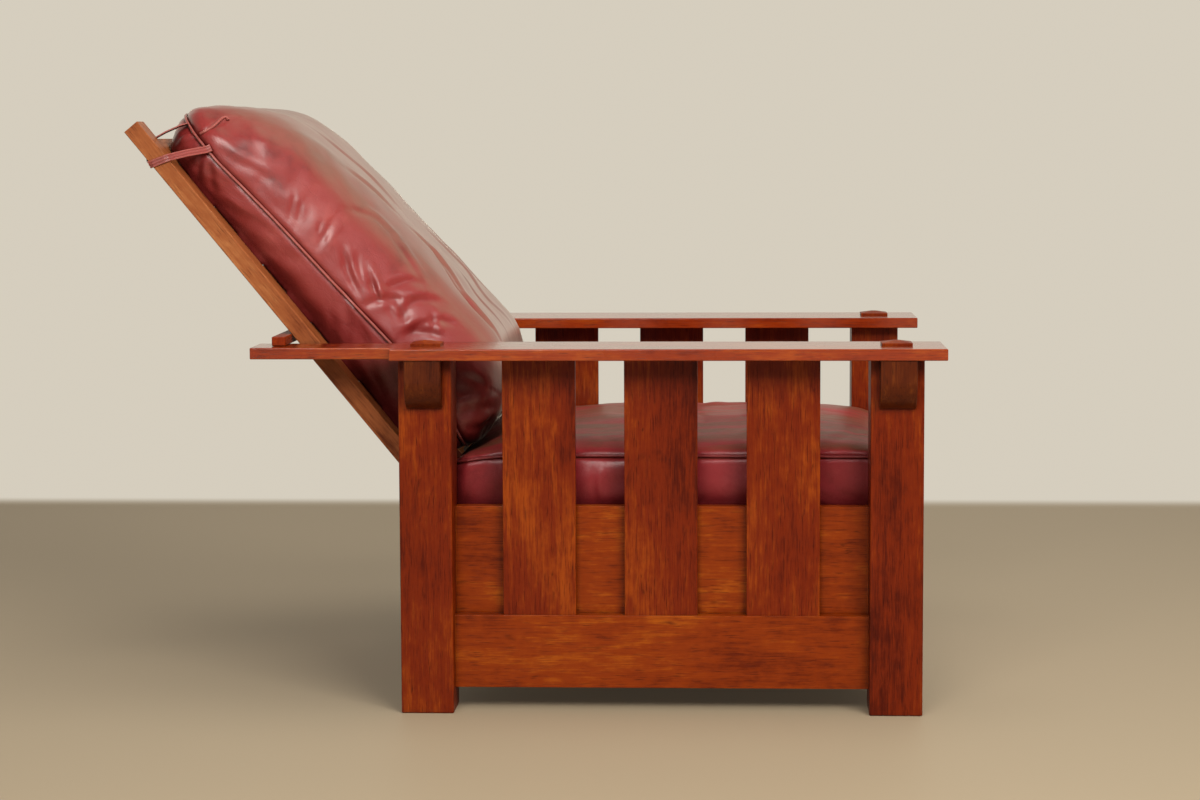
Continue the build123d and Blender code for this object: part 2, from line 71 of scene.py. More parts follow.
# Stage and light
BACKDROP_COLOUR = (0.67, 0.615, 0.515, 1)
FLOOR_COLOUR = (0.40, 0.32, 0.215, 1)
FLOOR_HALF_SIZE = 40.0
WALL_START = 1.9
WALL_END = 2.1
FLOOR_FADE_START = 3.5
FLOOR_FADE_END = 7.0
FLOOR_GLOW = (0.37, 0.295, 0.20, 1)
FLOOR_GLOW_SHARE = 0.08
FLOOR_ROUGHNESS = 0.55
FLOOR_SPECULAR = 0.25
SKY_COLOUR = (1.0, 0.97, 0.93, 1)
SKY_LEVEL = 0.21
# In reflections: how the backdrop brightens from the camera's side to behind the chair, and dims
# overhead, as parts of the direction
BEHIND_REACH = (-0.55, 0.35)
DIM_SHARE = 0.10
OVERHEAD_REACH = (0.30, 0.80)
OVERHEAD_SHARE = 0.35
LAMP_COLOUR = (1.0, 0.96, 0.90)
# Each lamp's place, size, power and whether it shows in reflections
LAMPS = (
    ("lamp_front_side", (-3.4, -1.8, 2.8), 1.9, 140.0, False),
    ("lamp_rear_side", (-3.5, 0.5, 2.4), 1.3, 54.0, True),
    ("lamp_above", (-0.6, -0.6, 3.3), 2.2, 46.0, False),
    ("lamp_far_side", (3.4, -1.2, 2.2), 1.8, 18.0, False),
)
LAMP_TARGET = Vector((0.0, -0.05, 0.5))

# Places taken from the frame
PIVOT = Vector(next(j for j in frame["joints"] if j["name"] == "back_recline")["pos_m"])
UP_BACK = Vector(next(j for j in frame["joints"] if j["name"] == "support_bar_lift")["axis"])
OUT_BACK = Vector((0, -UP_BACK.z, UP_BACK.y))
RECLINE_LEAN = math.atan2(UP_BACK.y, UP_BACK.z)
STILE_FRONT = 13.0 * MM


def on_back(x, along, out):
    """A place on the reclined back: across, up the stiles, and out from their front face."""
    return PIVOT + Vector((x, 0, 0)) + along * UP_BACK + (STILE_FRONT + out) * OUT_BACK


def back_places(points):
    """Points as across, along and out columns, the other way round."""
    away = points - np.array(PIVOT)
    along = away @ np.array(UP_BACK)
    out = away @ np.array(OUT_BACK) - STILE_FRONT
    return points[:, 0], along, out


# Node tree helpers


def put(tree, node, inputs):
    """Link inputs of a node to sockets, or set them to values."""
    for key, value in inputs.items():
        if isinstance(value, bpy.types.NodeSocket):
            tree.links.new(value, node.inputs[key])
        else:
            node.inputs[key].default_value = value


def add(tree, kind, inputs=None, **settings):
    """A node with its settings made and its inputs set or linked."""
    made = tree.nodes.new(kind)
    for key, value in settings.items():
        setattr(made, key, value)
    put(tree, made, inputs or {})
    return made


def calc(tree, operation, first, second):
    """The result of a sum on two numbers or sockets."""
    return add(tree, "ShaderNodeMath", {0: first, 1: second}, operation=operation).outputs[0]


def plus(tree, first, second, share):
    """A number and a share of a second one."""
    return calc(tree, "ADD", first, calc(tree, "MULTIPLY", second, share))


def ramp(tree, value, low, high, from_value=0.0, to_value=1.0):
    """A number carried smoothly from one range to another."""
    inputs = {"Value": value, "From Min": low, "From Max": high, "To Min": from_value, "To Max": to_value}
    return add(tree, "ShaderNodeMapRange", inputs, interpolation_type="SMOOTHSTEP").outputs[0]


def mixed(tree, factor, first, second):
    """Two colours mixed."""
    return add(tree, "ShaderNodeMix", {0: factor, 6: first, 7: second}, data_type="RGBA").outputs[2]


def noise(tree, vector, scale, detail=2.0, rough=0.5, distortion=0.0):
    """Soft noise from 0 to 1."""
    inputs = {"Vector": vector, "Scale": scale, "Detail": detail, "Roughness": rough}
    inputs["Distortion"] = distortion
    return add(tree, "ShaderNodeTexNoise", inputs).outputs[0]


def stretched(tree, vector, scale, rotation=(0, 0, 0)):
    """A vector turned and scaled."""
    inputs = {"Vector": vector, "Scale": scale, "Rotation": rotation}
    return add(tree, "ShaderNodeMapping", inputs).outputs[0]


def open_share(tree, reach, samples):
    """How open a place is: 1 on an open face, less in a corner or a recess."""
    settings = {"samples": samples, "only_local": False}
    return add(tree, "ShaderNodeAmbientOcclusion", {"Distance": reach}, **settings).outputs["AO"]


def new_material(name):
    """A new material, its tree and its shader."""
    material = bpy.data.materials.new(name)
    material.use_nodes = True
    tree = material.node_tree
    tree.nodes.clear()
    shader = add(tree, "ShaderNodeBsdfPrincipled")
    add(tree, "ShaderNodeOutputMaterial", {0: shader.outputs[0]})
    return material, tree, shader


# Wood

GRAIN_TURNS = {
    "upright": (0, 0, 0),
    "front_to_back": (math.radians(90), 0, 0),
    "across": (0, math.radians(-90), 0),
    "up_the_back": (RECLINE_LEAN, 0, 0),
}
# Noise along the grain: its stretch there, scale, detail, roughness and distortion
WOOD_NOISE = {
    "figure": (0.20, 40.0, 6.0, 0.64, 0.8),
    "streaks": (0.05, 170.0, 4.0, 0.66, 0.0),
    "fine": (0.07, 430.0, 2.0, 0.60, 0.0),
    "clouds": (0.50, 6.5, 4.0, 0.55, 0.0),
    "chatoyance": (0.70, 60.0, 4.0, 0.66, 0.0),
    "pores": (0.05, 700.0, 1.0, 0.50, 0.0),
    "specks": (0.25, 95.0, 2.0, 0.50, 0.8),
    "knots": (0.40, 12.0, 3.0, 0.55, 1.6),
}
WOOD_TONE_SHARES = {"figure": 0.42, "streaks": 0.34, "fine": 0.28, "clouds": 0.82, "chatoyance": 0.28}
WOOD_MIDDLE_TONE = (0.86, 1.09)
WOOD_LIGHT_TONE = (1.07, 1.34)
# Where each kind of dark mark starts and is full in its noise, and how strongly it shows
WOOD_MARKS = {"pores": (0.60, 0.72, 0.5), "specks": (0.66, 0.78, 0.5), "knots": (0.70, 0.80, 0.45)}
PORE_SHADE = 0.22
BOARD_SHIFT = (7.3, 3.1, 5.7)
WORN_EDGE = 3.2 * MM
WORN_SHARE = 0.5
# How far an edge's soft normal turns from its face's, and the noise and range of the worn patches
EDGE_TURN = (0.995, 0.86)
WORN_NOISE = (38.0, 3.0)
WORN_PATCHES = (0.44, 0.62)
# Painted shade: how far and how strongly the wood is darkened in corners and joints, by how enclosed it is
CORNER_SHADE_REACH = 14 * MM
CORNER_SHADE_OPENNESS = (0.75, 0.2)
CORNER_SHADE_SHARE = 0.6
CLOUD_ROUGHNESS = 0.14
PORE_ROUGHNESS = 0.2
STREAK_RELIEF_SHARE = 0.5
GRAIN_RELIEF = 0.2 * MM
WOOD_SPECULAR = 0.16
POLISH_ROUGHNESS = 0.14


def wood_material(name, grain, dark, middle, light, gloss, polish):
    """Stained, lacquered hardwood: figure, pores, mottling and worn edges along one grain direction, with
    painted shade in its corners.
    """
    material, tree, shader = new_material(name)
    pore = tuple(PORE_SHADE * part for part in dark[:3]) + (1,)
    place = add(tree, "ShaderNodeTexCoord").outputs["Object"]
    piece = add(tree, "ShaderNodeObjectInfo").outputs["Random"]
    shift = add(tree, "ShaderNodeVectorMath", {0: BOARD_SHIFT, "Scale": piece}, operation="SCALE")
    turned = stretched(tree, place, (1, 1, 1), GRAIN_TURNS[grain])
    board = add(tree, "ShaderNodeVectorMath", {0: turned, 1: shift.outputs[0]}, operation="ADD").outputs[0]
    layers = {}
    for layer, (stretch, *settings) in WOOD_NOISE.items():
        layers[layer] = noise(tree, stretched(tree, board, (1, 1, stretch)), *settings)

    tone = 0.0
    for layer, share in WOOD_TONE_SHARES.items():
        tone = plus(tree, tone, layers[layer], share)
    colour = mixed(tree, ramp(tree, tone, *WOOD_MIDDLE_TONE), dark, middle)
    colour = mixed(tree, ramp(tree, tone, *WOOD_LIGHT_TONE), colour, light)
    marks = {}
    for layer, (low, high, share) in WOOD_MARKS.items():
        marks[layer] = ramp(tree, layers[layer], low, high)
        colour = mixed(tree, calc(tree, "MULTIPLY", marks[layer], share), colour, pore)

    edge_normal = add(tree, "ShaderNodeBevel", {"Radius": WORN_EDGE}, samples=4).outputs[0]
    face_normal = add(tree, "ShaderNodeNewGeometry").outputs["Normal"]
    alike = add(tree, "ShaderNodeVectorMath", {0: edge_normal, 1: face_normal}, operation="DOT_PRODUCT")
    edge = ramp(tree, alike.outputs["Value"], *EDGE_TURN)
    rubbed = calc(tree, "MULTIPLY", edge, ramp(tree, noise(tree, place, *WORN_NOISE), *WORN_PATCHES))
    colour = mixed(tree, calc(tree, "MULTIPLY", rubbed, WORN_SHARE), colour, light)
    # Painted shade: darkened towards the pore colour in corners and joints
    corner_shade = open_share(tree, CORNER_SHADE_REACH, 4)
    colour = mixed(tree, ramp(tree, corner_shade, *CORNER_SHADE_OPENNESS, 0.0, CORNER_SHADE_SHARE), colour, pore)

    rough = plus(tree, gloss, layers["clouds"], CLOUD_ROUGHNESS)
    rough = plus(tree, rough, marks["pores"], PORE_ROUGHNESS)
    streaks = calc(tree, "MULTIPLY", layers["streaks"], STREAK_RELIEF_SHARE)
    relief = calc(tree, "SUBTRACT", streaks, marks["pores"])
    bump = add(tree, "ShaderNodeBump", {"Height": relief, "Strength": 0.5, "Distance": GRAIN_RELIEF})
    look = {
        "Base Color": colour,
        "Roughness": rough,
        "Normal": bump.outputs[0],
        "Specular IOR Level": WOOD_SPECULAR,
        "Coat Weight": polish,
        "Coat Roughness": POLISH_ROUGHNESS,
    }
    put(tree, shader, look)
    return material


# Stained tones as dark, middle and light. The corbels' tones are darker as painted shade, for the shade
# under the arms.
FRAME_TONES = ((0.070, 0.0048, 0.0006, 1), (0.160, 0.0145, 0.0011, 1), (0.30, 0.050, 0.0028, 1))
ARM_TONES = ((0.13, 0.010, 0.001, 1), (0.24, 0.024, 0.0015, 1), (0.36, 0.062, 0.004, 1))
CORBEL_SHADED_TONES = ((0.036, 0.0048, 0.0010, 1), (0.080, 0.0125, 0.0018, 1), (0.16, 0.036, 0.004, 1))
RAIL_TONES = ((0.115, 0.0115, 0.0008, 1), (0.230, 0.030, 0.0014, 1), (0.38, 0.085, 0.004, 1))
BACK_TONES = ((0.15, 0.032, 0.009, 1), (0.30, 0.086, 0.026, 1), (0.45, 0.170, 0.058, 1))
DECK_TONES = ((0.11, 0.032, 0.012, 1), (0.17, 0.060, 0.024, 1), (0.24, 0.100, 0.045, 1))


# Each wood's grain, tones, gloss and polish, and how the names of its pieces start. A piece that
# is named twice takes the later wood.
WOODS = {
    "post_wood": ("upright", FRAME_TONES, 0.36, 0.08, ("front_post", "rear_post", "side_slat")),
    # The corbels take darker tones as painted shade under the arms
    "corbel_wood": ("upright", CORBEL_SHADED_TONES, 0.36, 0.08, ("front_corbel", "rear_corbel")),
    "arm_wood": ("front_to_back", ARM_TONES, 0.2, 0.9, ("arm",)),
    "rail_wood": ("front_to_back", RAIL_TONES, 0.36, 0.08, ("lower_side_rail", "seat_side_rail")),
    "cross_rail_wood": ("across", RAIL_TONES, 0.36, 0.08, ("seat_front_rail", "seat_rear_rail")),
    "bar_wood": ("across", ARM_TONES, 0.36, 0.08, ("support_bar",)),
    "stile_wood": ("up_the_back", BACK_TONES, 0.36, 0.08, ("back_stile", "support_bar_pin")),
    "back_slat_wood": ("across", BACK_TONES, 0.36, 0.08, ("back_slat", "back_bottom", "back_crest")),
    "deck_wood": ("front_to_back", DECK_TONES, 0.6, 0.08, ("seat_deck_slat",)),
    "cleat_wood": ("across", DECK_TONES, 0.6, 0.08, ("seat_front_cleat", "seat_rear_cleat")),
}


def dress_wood():
    """Give every wooden node its material, by the way its grain runs."""
    for wood, (grain, tones, gloss, polish, starts) in WOODS.items():
        material = wood_material(wood, grain, *tones, gloss, polish)
        for name, piece in frame["nodes"].items():
            if name.startswith(starts):
                dress(piece, material)


def dress(piece, *materials):
    """Put these materials in a piece's slots."""
    piece.data.materials.clear()
    for material in materials:
        piece.data.materials.append(material)


# Metal

STEEL = ((0.20, 0.18, 0.16, 1), 0.42)
BRASS = ((0.24, 0.15, 0.07, 1), 0.45)
TARNISH_NOISE = (90.0, 4.0, 0.6)
TARNISH_PATCHES = (0.45, 0.75)
TARNISH_SHADE = 0.55
TARNISH_ROUGHNESS = 0.25
METAL_NOISE = (900.0, 1.0)
METAL_RELIEF = 0.1 * MM


def metal_material(name, colour, rough):
    """Plain turned metal, mottled with a little tarnish."""
    material, tree, shader = new_material(name)
    place = add(tree, "ShaderNodeTexCoord").outputs["Object"]
    tarnish = noise(tree, place, *TARNISH_NOISE)
    dull = tuple(TARNISH_SHADE * part for part in colour[:3]) + (1,)
    tarnished = mixed(tree, ramp(tree, tarnish, *TARNISH_PATCHES), colour, dull)
    rough = plus(tree, rough, tarnish, TARNISH_ROUGHNESS)
    fine = noise(tree, place, *METAL_NOISE)
    bump = add(tree, "ShaderNodeBump", {"Height": fine, "Strength": 0.3, "Distance": METAL_RELIEF})
    look = {"Base Color": tarnished, "Roughness": rough, "Normal": bump.outputs[0], "Metallic": 1.0}
    put(tree, shader, look)
    return material


def dress_metal():
    """Give the pivot pins and washers their metal."""
    steel = metal_material("pin_steel", *STEEL)
    brass = metal_material("washer_brass", *BRASS)
    for side in SIDES:
        dress(frame["nodes"]["pivot_pin_" + side], steel)
        dress(frame["nodes"]["pivot_washer_" + side], brass)


# Leather

# Dyed tones as dark, middle, light, and a faded tone that is partly real fading and partly a painted
# reflection
CORD_TONES = (
    (0.14, 0.018, 0.016, 1),
    (0.29, 0.050, 0.042, 1),
    (0.46, 0.13, 0.10, 1),
    (0.46, 0.13, 0.10, 1),
)
# The seat's cord tones are darker than its leather as painted shade along the seat's welt
SEAT_CORD_SHADED_TONES = (
    (0.09, 0.008, 0.009, 1),
    (0.20, 0.018, 0.020, 1),
    (0.30, 0.048, 0.046, 1),
    (0.20, 0.05, 0.04, 1),
)
BACK_LEATHER = (
    (0.13, 0.0100, 0.0095, 1),
    (0.27, 0.024, 0.022, 1),
    (0.40, 0.072, 0.062, 1),
    (0.24, 0.125, 0.086, 1),
)
SEAT_LEATHER = (
    (0.13, 0.0070, 0.0095, 1),
    (0.33, 0.026, 0.032, 1),
    (0.46, 0.072, 0.078, 1),
    (0.15, 0.060, 0.028, 1),
)
# Painted shade: the colour of recesses
LEATHER_SHADE = (0.030, 0.003, 0.003, 1)
# Painted shade where the cover faces away from the lit way
LEATHER_AWAY_SHADE = (0.085, 0.0065, 0.0065, 1)
# How each piece wears and takes painted light: the exposed, lit way, how its streaks lie, and how glossy it
# still is
BACK_WEAR_AND_PAINTED_LIGHT = {"exposed_lit_way": OUT_BACK, "turn": (RECLINE_LEAN, 0, 0)}
SEAT_WEAR_AND_PAINTED_LIGHT = {
    "exposed_lit_way": (0, 0, 1),
    "streak": (1, 0.10, 1),
    "least_fade_and_reflection": 0.0,
    "most_fade_and_reflection": 0.85,
    "glaze": (0.26, 0.14),
    "bloom": 0.05,
    "specular": 0.3,
}
SEAT_CORD_WEAR = {"glaze": (0.15, 0.10), "bloom": 0.05, "specular": 0.25}
# Noise in the leather: its scale, detail, roughness and distortion
LEATHER_NOISE = {
    "cloud": (5.0, 4.0, 0.55, 0.4),
    "mottle": (34.0, 5.0, 0.62, 0.3),
    "crinkle": (46.0, 5.0, 0.6, 1.1),
    "streaks": (42.0, 4.0, 0.6, 0.4),
}
CRINKLE_STRETCH = (1, 1, 0.5)
# The scale of its irregular cells, and how far their edges reach in
GRAIN_CELLS = (420.0, 0.16)
VEIN_CELLS = (62.0, 0.05)
CLOUD_SHARE = 0.65
MOTTLE_SHARE = 0.45
LEATHER_MIDDLE_TONE = (0.32, 0.54)
LEATHER_LIGHT_TONE = (0.56, 0.80)
LIGHT_SHARE = 0.7
# The bend of the surface, 0.5 where it is flat, over which folds and ridges set in
FOLD_BEND = (0.5, 0.44)
RIDGE_BEND = (0.505, 0.56)
# Painted shade: how much darker the folds are
FOLD_SHADE_SHARE = 0.55
RIDGE_SHARE = 0.35
VEIN_SHARE = 0.10
# How squarely it faces away from the lit way, where painted shade darkens it, and towards the exposed lit
# way, where it fades with a painted reflection: from where each colour sets in to where it is full
AWAY_REACH = (-0.05, -0.55)
AWAY_SHADE_SHARE = 0.62
FADE_AND_REFLECTION_REACH = (0.42, 0.88)
FADE_AND_REFLECTION_STREAKS = (0.34, 0.62)
# How far a recess is felt, and how open a place is where painted shade darkens its colour and dims its
# gloss
RECESS_REACH = 100 * MM
SHADE_OPENNESS = (0.80, 0.25)
SHADE_SHARE = 0.85
GLOSS_OPENNESS = (0.35, 0.80)
RECESS_GLOSS_SHARE = 0.10
LEATHER_ROUGHNESS = 0.34
MOTTLE_ROUGHNESS = 0.16
FOLD_ROUGHNESS = 0.12
LEATHER_GRAIN = 0.15 * MM
CRINKLE_DEPTH = 2.2 * MM
VEIN_RELIEF_SHARE = 0.12
ASLANT_REACH = (0.45, 0.90)
COAT_IOR = 2.05
COAT_ROUGHNESS = 0.30
BLOOM_ROUGHNESS = 0.18
BLOOM_TINT = (0.85, 0.76, 0.62, 1)


def cell_edges(tree, vector, scale, width):
    """0 on the edges of irregular cells, rising to 1 at this distance inside them."""
    inputs = {"Vector": vector, "Scale": scale}
    cells = add(tree, "ShaderNodeTexVoronoi", inputs, feature="DISTANCE_TO_EDGE")
    return ramp(tree, cells.outputs["Distance"], 0.0, width)


def leather_material(
    name,
    dark,
    middle,
    light,
    faded_and_reflected,
    turn=(0, 0, 0),
    exposed_lit_way=(0, 0, 0),
    streak=(1, 1, 0.12),
    least_fade_and_reflection=0.72,
    most_fade_and_reflection=0.70,
    glaze=(0.36, 1.0),
    bloom=0.45,
    specular=0.5,
):
    """Glazed burgundy leather: mottled dye, folds darkened with painted shade, pale ridges, fine grain and
    crinkles.

    It is faded where it faces the exposed, lit way, partly as real fading and partly as a painted
    reflection, and painted shade deepens its colour where it faces away.
    In a recess it is darkened with painted shade, and its gloss is dimmed as painted shade on its
    reflections."""
    material, tree, shader = new_material(name)
    place = stretched(tree, add(tree, "ShaderNodeTexCoord").outputs["Object"], (1, 1, 1), turn)
    cloud = noise(tree, place, *LEATHER_NOISE["cloud"])
    mottle = noise(tree, place, *LEATHER_NOISE["mottle"])
    crinkle = noise(tree, stretched(tree, place, CRINKLE_STRETCH), *LEATHER_NOISE["crinkle"])
    streaks = noise(tree, stretched(tree, place, streak), *LEATHER_NOISE["streaks"])
    cells = cell_edges(tree, place, *GRAIN_CELLS)
    veins = cell_edges(tree, place, *VEIN_CELLS)
    bend = add(tree, "ShaderNodeNewGeometry").outputs["Pointiness"]
    folds = ramp(tree, bend, *FOLD_BEND)
    ridges = ramp(tree, bend, *RIDGE_BEND)

    tone = plus(tree, calc(tree, "MULTIPLY", cloud, CLOUD_SHARE), mottle, MOTTLE_SHARE)
    colour = mixed(tree, ramp(tree, tone, *LEATHER_MIDDLE_TONE), dark, middle)
    colour = mixed(tree, ramp(tree, tone, *LEATHER_LIGHT_TONE, 0.0, LIGHT_SHARE), colour, light)
    colour = mixed(tree, calc(tree, "MULTIPLY", ridges, RIDGE_SHARE), colour, light)
    # Painted shade: darker in the folds
    colour = mixed(tree, calc(tree, "MULTIPLY", folds, FOLD_SHADE_SHARE), colour, dark)
    in_vein = calc(tree, "SUBTRACT", 1.0, veins)
    colour = mixed(tree, calc(tree, "MULTIPLY", in_vein, VEIN_SHARE), colour, dark)
    normal = add(tree, "ShaderNodeTexCoord").outputs["Normal"]
    facing = add(tree, "ShaderNodeVectorMath", {0: normal, 1: exposed_lit_way}, operation="DOT_PRODUCT")
    facing = facing.outputs["Value"]
    # Painted shade: darker where the cover faces away from the lit way
    colour = mixed(tree, ramp(tree, facing, *AWAY_REACH, 0.0, AWAY_SHADE_SHARE), colour, LEATHER_AWAY_SHADE)
    # Partly real fading and partly a painted reflection where the cover faces the lit way, broken into
    # streaks
    streaked_fade_and_reflection = ramp(tree, streaks, *FADE_AND_REFLECTION_STREAKS, least_fade_and_reflection, 1.0)
    fade_and_reflection = calc(tree, "MULTIPLY", ramp(tree, facing, *FADE_AND_REFLECTION_REACH, 0.0, most_fade_and_reflection), streaked_fade_and_reflection)
    colour = mixed(tree, fade_and_reflection, colour, faded_and_reflected)
    # Painted shade: darker in recesses, by how enclosed the cover is
    shade = open_share(tree, RECESS_REACH, 6)
    colour = mixed(tree, ramp(tree, shade, *SHADE_OPENNESS, 0.0, SHADE_SHARE), colour, LEATHER_SHADE)

    rough = plus(tree, LEATHER_ROUGHNESS, mottle, MOTTLE_ROUGHNESS)
    rough = plus(tree, rough, folds, FOLD_ROUGHNESS)
    grain = add(tree, "ShaderNodeBump", {"Height": cells, "Strength": 0.35, "Distance": LEATHER_GRAIN})
    relief = plus(tree, crinkle, veins, VEIN_RELIEF_SHARE)
    bump = add(tree, "ShaderNodeBump", {"Height": relief, "Strength": 0.40, "Distance": CRINKLE_DEPTH})
    put(tree, bump, {"Normal": grain.outputs[0]})
    # Painted shade on the gloss: specular and coat dimmed in recesses
    open_air = ramp(tree, shade, *GLOSS_OPENNESS, RECESS_GLOSS_SHARE, 1.0)
    aslant = add(tree, "ShaderNodeLayerWeight", {"Blend": 0.5}).outputs["Facing"]
    look = {
        "Base Color": colour,
        "Roughness": rough,
        "Normal": bump.outputs[0],
        "Specular IOR Level": calc(tree, "MULTIPLY", open_air, specular),
        "Coat Weight": calc(tree, "MULTIPLY", ramp(tree, aslant, *ASLANT_REACH, *glaze), open_air),
        "Coat IOR": COAT_IOR,
        "Coat Roughness": COAT_ROUGHNESS,
        "Sheen Weight": bloom,
        "Sheen Roughness": BLOOM_ROUGHNESS,
        "Sheen Tint": BLOOM_TINT,
    }
    put(tree, shader, look)
    return material


# Cushions

VOXEL = 6.0 * MM
WELD_DISTANCE = 0.02 * MM
EVENING_ROUNDS = 4
SWELL_FRAMES = 20
WEIGHT_STEPS = 20
LEAST_STOPS = 4
SEAM_RAYS = 720
SEAM_TRIES = 4
SEAM_FIRST_REACH = 300 * MM
SEAM_STEP = 5 * MM
SEAM_FINE_STEP = 1 * MM
SEAM_PINCH_WIDTH = 5 * MM
SEAM_HOLD_WIDTH = 8 * MM
SEAM_DRAW_WIDTH = 9 * MM
WELT_RADIUS = 2.4 * MM
WELT_SINK = 0.4 * MM
CORD_ROUNDNESS = 2
# Beyond every crease's reach
FAR_AWAY = 1.0
# A crease fades at its ends, and its roll lies beside it by a share of its width
CREASE_STEP = 4 * MM
CREASE_EASING = 4
CREASE_REACH = 5
CREASE_ENDS = (0.02, 0.98)
ROLL_PLACE_SHARE = 1.9
ROLL_WIDTH_SHARE = 1.3
# Lumps in the filling: how fast finer ones weaken, how much finer they are, and how many kinds
LUMP_FRACTAL = (0.8, 2.1, 2)
# The covers as cloth that is blown up from inside
CLOTH = {
    "quality": 5,
    "mass": 0.35,
    "tension_stiffness": 18,
    "compression_stiffness": 18,
    "shear_stiffness": 8,
    "bending_stiffness": 0.8,
    "use_pressure": True,
    "uniform_pressure_force": 4.0,
    "pin_stiffness": 0.6,
    "shrink_max": 0.10,
}
# Rounds of smoothing that take the harshness off the wrinkles, and that find the broad swelling
SOFTENING_ROUNDS = 5
BROAD_ROUNDS = 60


def made_mesh(piece):
    """The mesh that a curve makes, or that a piece's modifiers make of its own."""
    graph = bpy.context.evaluated_depsgraph_get()
    return bpy.data.meshes.new_from_object(piece.evaluated_get(graph))


def settled(piece):
    """Replace a piece's mesh by what its modifiers make of it."""
    made = made_mesh(piece)
    piece.modifiers.clear()
    piece.data = made
    return piece


def read_rows(items, key):
    """A vector of each item as rows."""
    rows = np.zeros(len(items) * 3, np.float32)
    items.foreach_get(key, rows)
    return rows.reshape(-1, 3).astype(float)


def read_points(piece):
    """A mesh's points as rows."""
    return read_rows(piece.data.vertices, "co")


def read_normals(piece):
    """A mesh's point normals as rows."""
    return read_rows(piece.data.vertex_normals, "vector")


def write_points(piece, points):
    """Put points back in a mesh."""
    piece.data.vertices.foreach_set("co", points.astype(np.float32).ravel())
    piece.data.update()


def link(piece):
    """Bring an object into the scene."""
    bpy.context.scene.collection.objects.link(piece)
    return piece


def even_copy(node, name):
    """A fine, even mesh in the space of a solid cushion."""
    piece = link(bpy.data.objects.new(name, frame["nodes"][node].data.copy()))
    whole = bmesh.new()
    whole.from_mesh(piece.data)
    bmesh.ops.remove_doubles(whole, verts=whole.verts, dist=WELD_DISTANCE)
    whole.to_mesh(piece.data)
    whole.free()
    remesh = piece.modifiers.new("even", "REMESH")
    remesh.mode = "VOXEL"
    remesh.voxel_size = VOXEL
    remesh.use_smooth_shade = True
    smooth = piece.modifiers.new("soft", "SMOOTH")
    smooth.factor = 0.5
    smooth.iterations = EVENING_ROUNDS
    return settled(piece)


def weigh(piece, name, weights):
    """Store a weight for each point in a named group."""
    group = piece.vertex_groups.new(name=name)
    steps = np.clip((weights * WEIGHT_STEPS).round().astype(int), 0, WEIGHT_STEPS)
    for step in range(1, WEIGHT_STEPS + 1):
        members = np.nonzero(steps == step)[0]
        if len(members):
            group.add(members.tolist(), step / WEIGHT_STEPS, "REPLACE")
    return group.name


def neighbour_mean(edges, count, values):
    """The mean of each point's neighbours' values."""
    ends = np.concatenate([edges[:, 0], edges[:, 1]])
    others = np.concatenate([edges[:, 1], edges[:, 0]])
    number = np.maximum(np.bincount(ends, minlength=count), 1)
    columns = values[others].T
    sums = [np.bincount(ends, weights=column, minlength=count) for column in columns]
    return np.stack(sums, axis=1) / number[:, None]


def smoothed(piece, values, rounds):
    """Values spread smoothly over a mesh."""
    edges = np.zeros(len(piece.data.edges) * 2, np.int32)
    piece.data.edges.foreach_get("vertices", edges)
    edges = edges.reshape(-1, 2)
    for _ in range(rounds):
        values = 0.5 * (values + neighbour_mean(edges, len(values), values))
    return values


def swell(piece, inset, cap, pinned, drawn, kept):
    """Fill a cushion: cloth under pressure, held where it is pinned and drawn in along its seams.

    A share of its wrinkles is kept, and its broad change of shape is not."""
    full = read_points(piece)
    start = full - read_normals(piece) * inset
    write_points(piece, start)
    cloth = piece.modifiers.new("filling", "CLOTH")
    for key, value in CLOTH.items():
        setattr(cloth.settings, key, value)
    cloth.settings.vertex_group_mass = weigh(piece, "held", pinned)
    cloth.settings.vertex_group_shrink = weigh(piece, "drawn", drawn)
    cloth.settings.effector_weights.gravity = 0
    cloth.collision_settings.use_collision = False
    scene = bpy.context.scene
    scene.frame_start = 1
    scene.frame_end = SWELL_FRAMES
    cloth.point_cache.frame_start = 1
    cloth.point_cache.frame_end = SWELL_FRAMES
    for step in range(1, SWELL_FRAMES + 1):
        scene.frame_set(step)
    settled(piece)
    scene.frame_set(1)
    moved = read_points(piece) - start
    far = np.linalg.norm(moved, axis=1)
    moved *= np.minimum(1.0, cap / np.maximum(far, 1e-9))[:, None]
    moved = smoothed(piece, moved, SOFTENING_ROUNDS)
    write_points(piece, full + kept * (moved - smoothed(piece, moved, BROAD_ROUNDS)))
    piece.vertex_groups.clear()


def refined(piece):
    """One smooth subdivision."""
    finer = piece.modifiers.new("finer", "SUBSURF")
    finer.levels = 1
    finer.render_levels = 1
    return settled(piece)


def bell(distance, width):
    """1 at no distance, falling smoothly to 0."""
    return np.exp(-((distance / width) ** 2))


def smooth_step(value, low, high):
    """0 below the low value, 1 above the high one, and smooth between."""
    share = np.clip((value - low) / (high - low), 0, 1)
    return share * share * (3 - 2 * share)


def surface_tree(piece):
    """A search tree over a piece's faces."""
    return BVHTree.FromObject(piece, bpy.context.evaluated_depsgraph_get())


def lengths_along(route):
    """The way done at each point of a route."""
    return np.concatenate([[0], np.cumsum(np.linalg.norm(np.diff(route, axis=0), axis=1))])


def evened(route, step):
    """A route's points at an even step."""
    route = np.asarray(route, float)
    done = lengths_along(route)
    wanted = np.linspace(0, done[-1], max(LEAST_STOPS, int(round(done[-1] / step)) + 1))
    return np.stack([np.interp(wanted, done, column) for column in route.T], axis=1)


def eased(route, rounds):
    """A route with its corners rounded and its ends kept."""
    route = route.copy()
    for _ in range(rounds):
        route[1:-1] = 0.5 * route[1:-1] + 0.25 * (route[:-2] + route[2:])
    return route


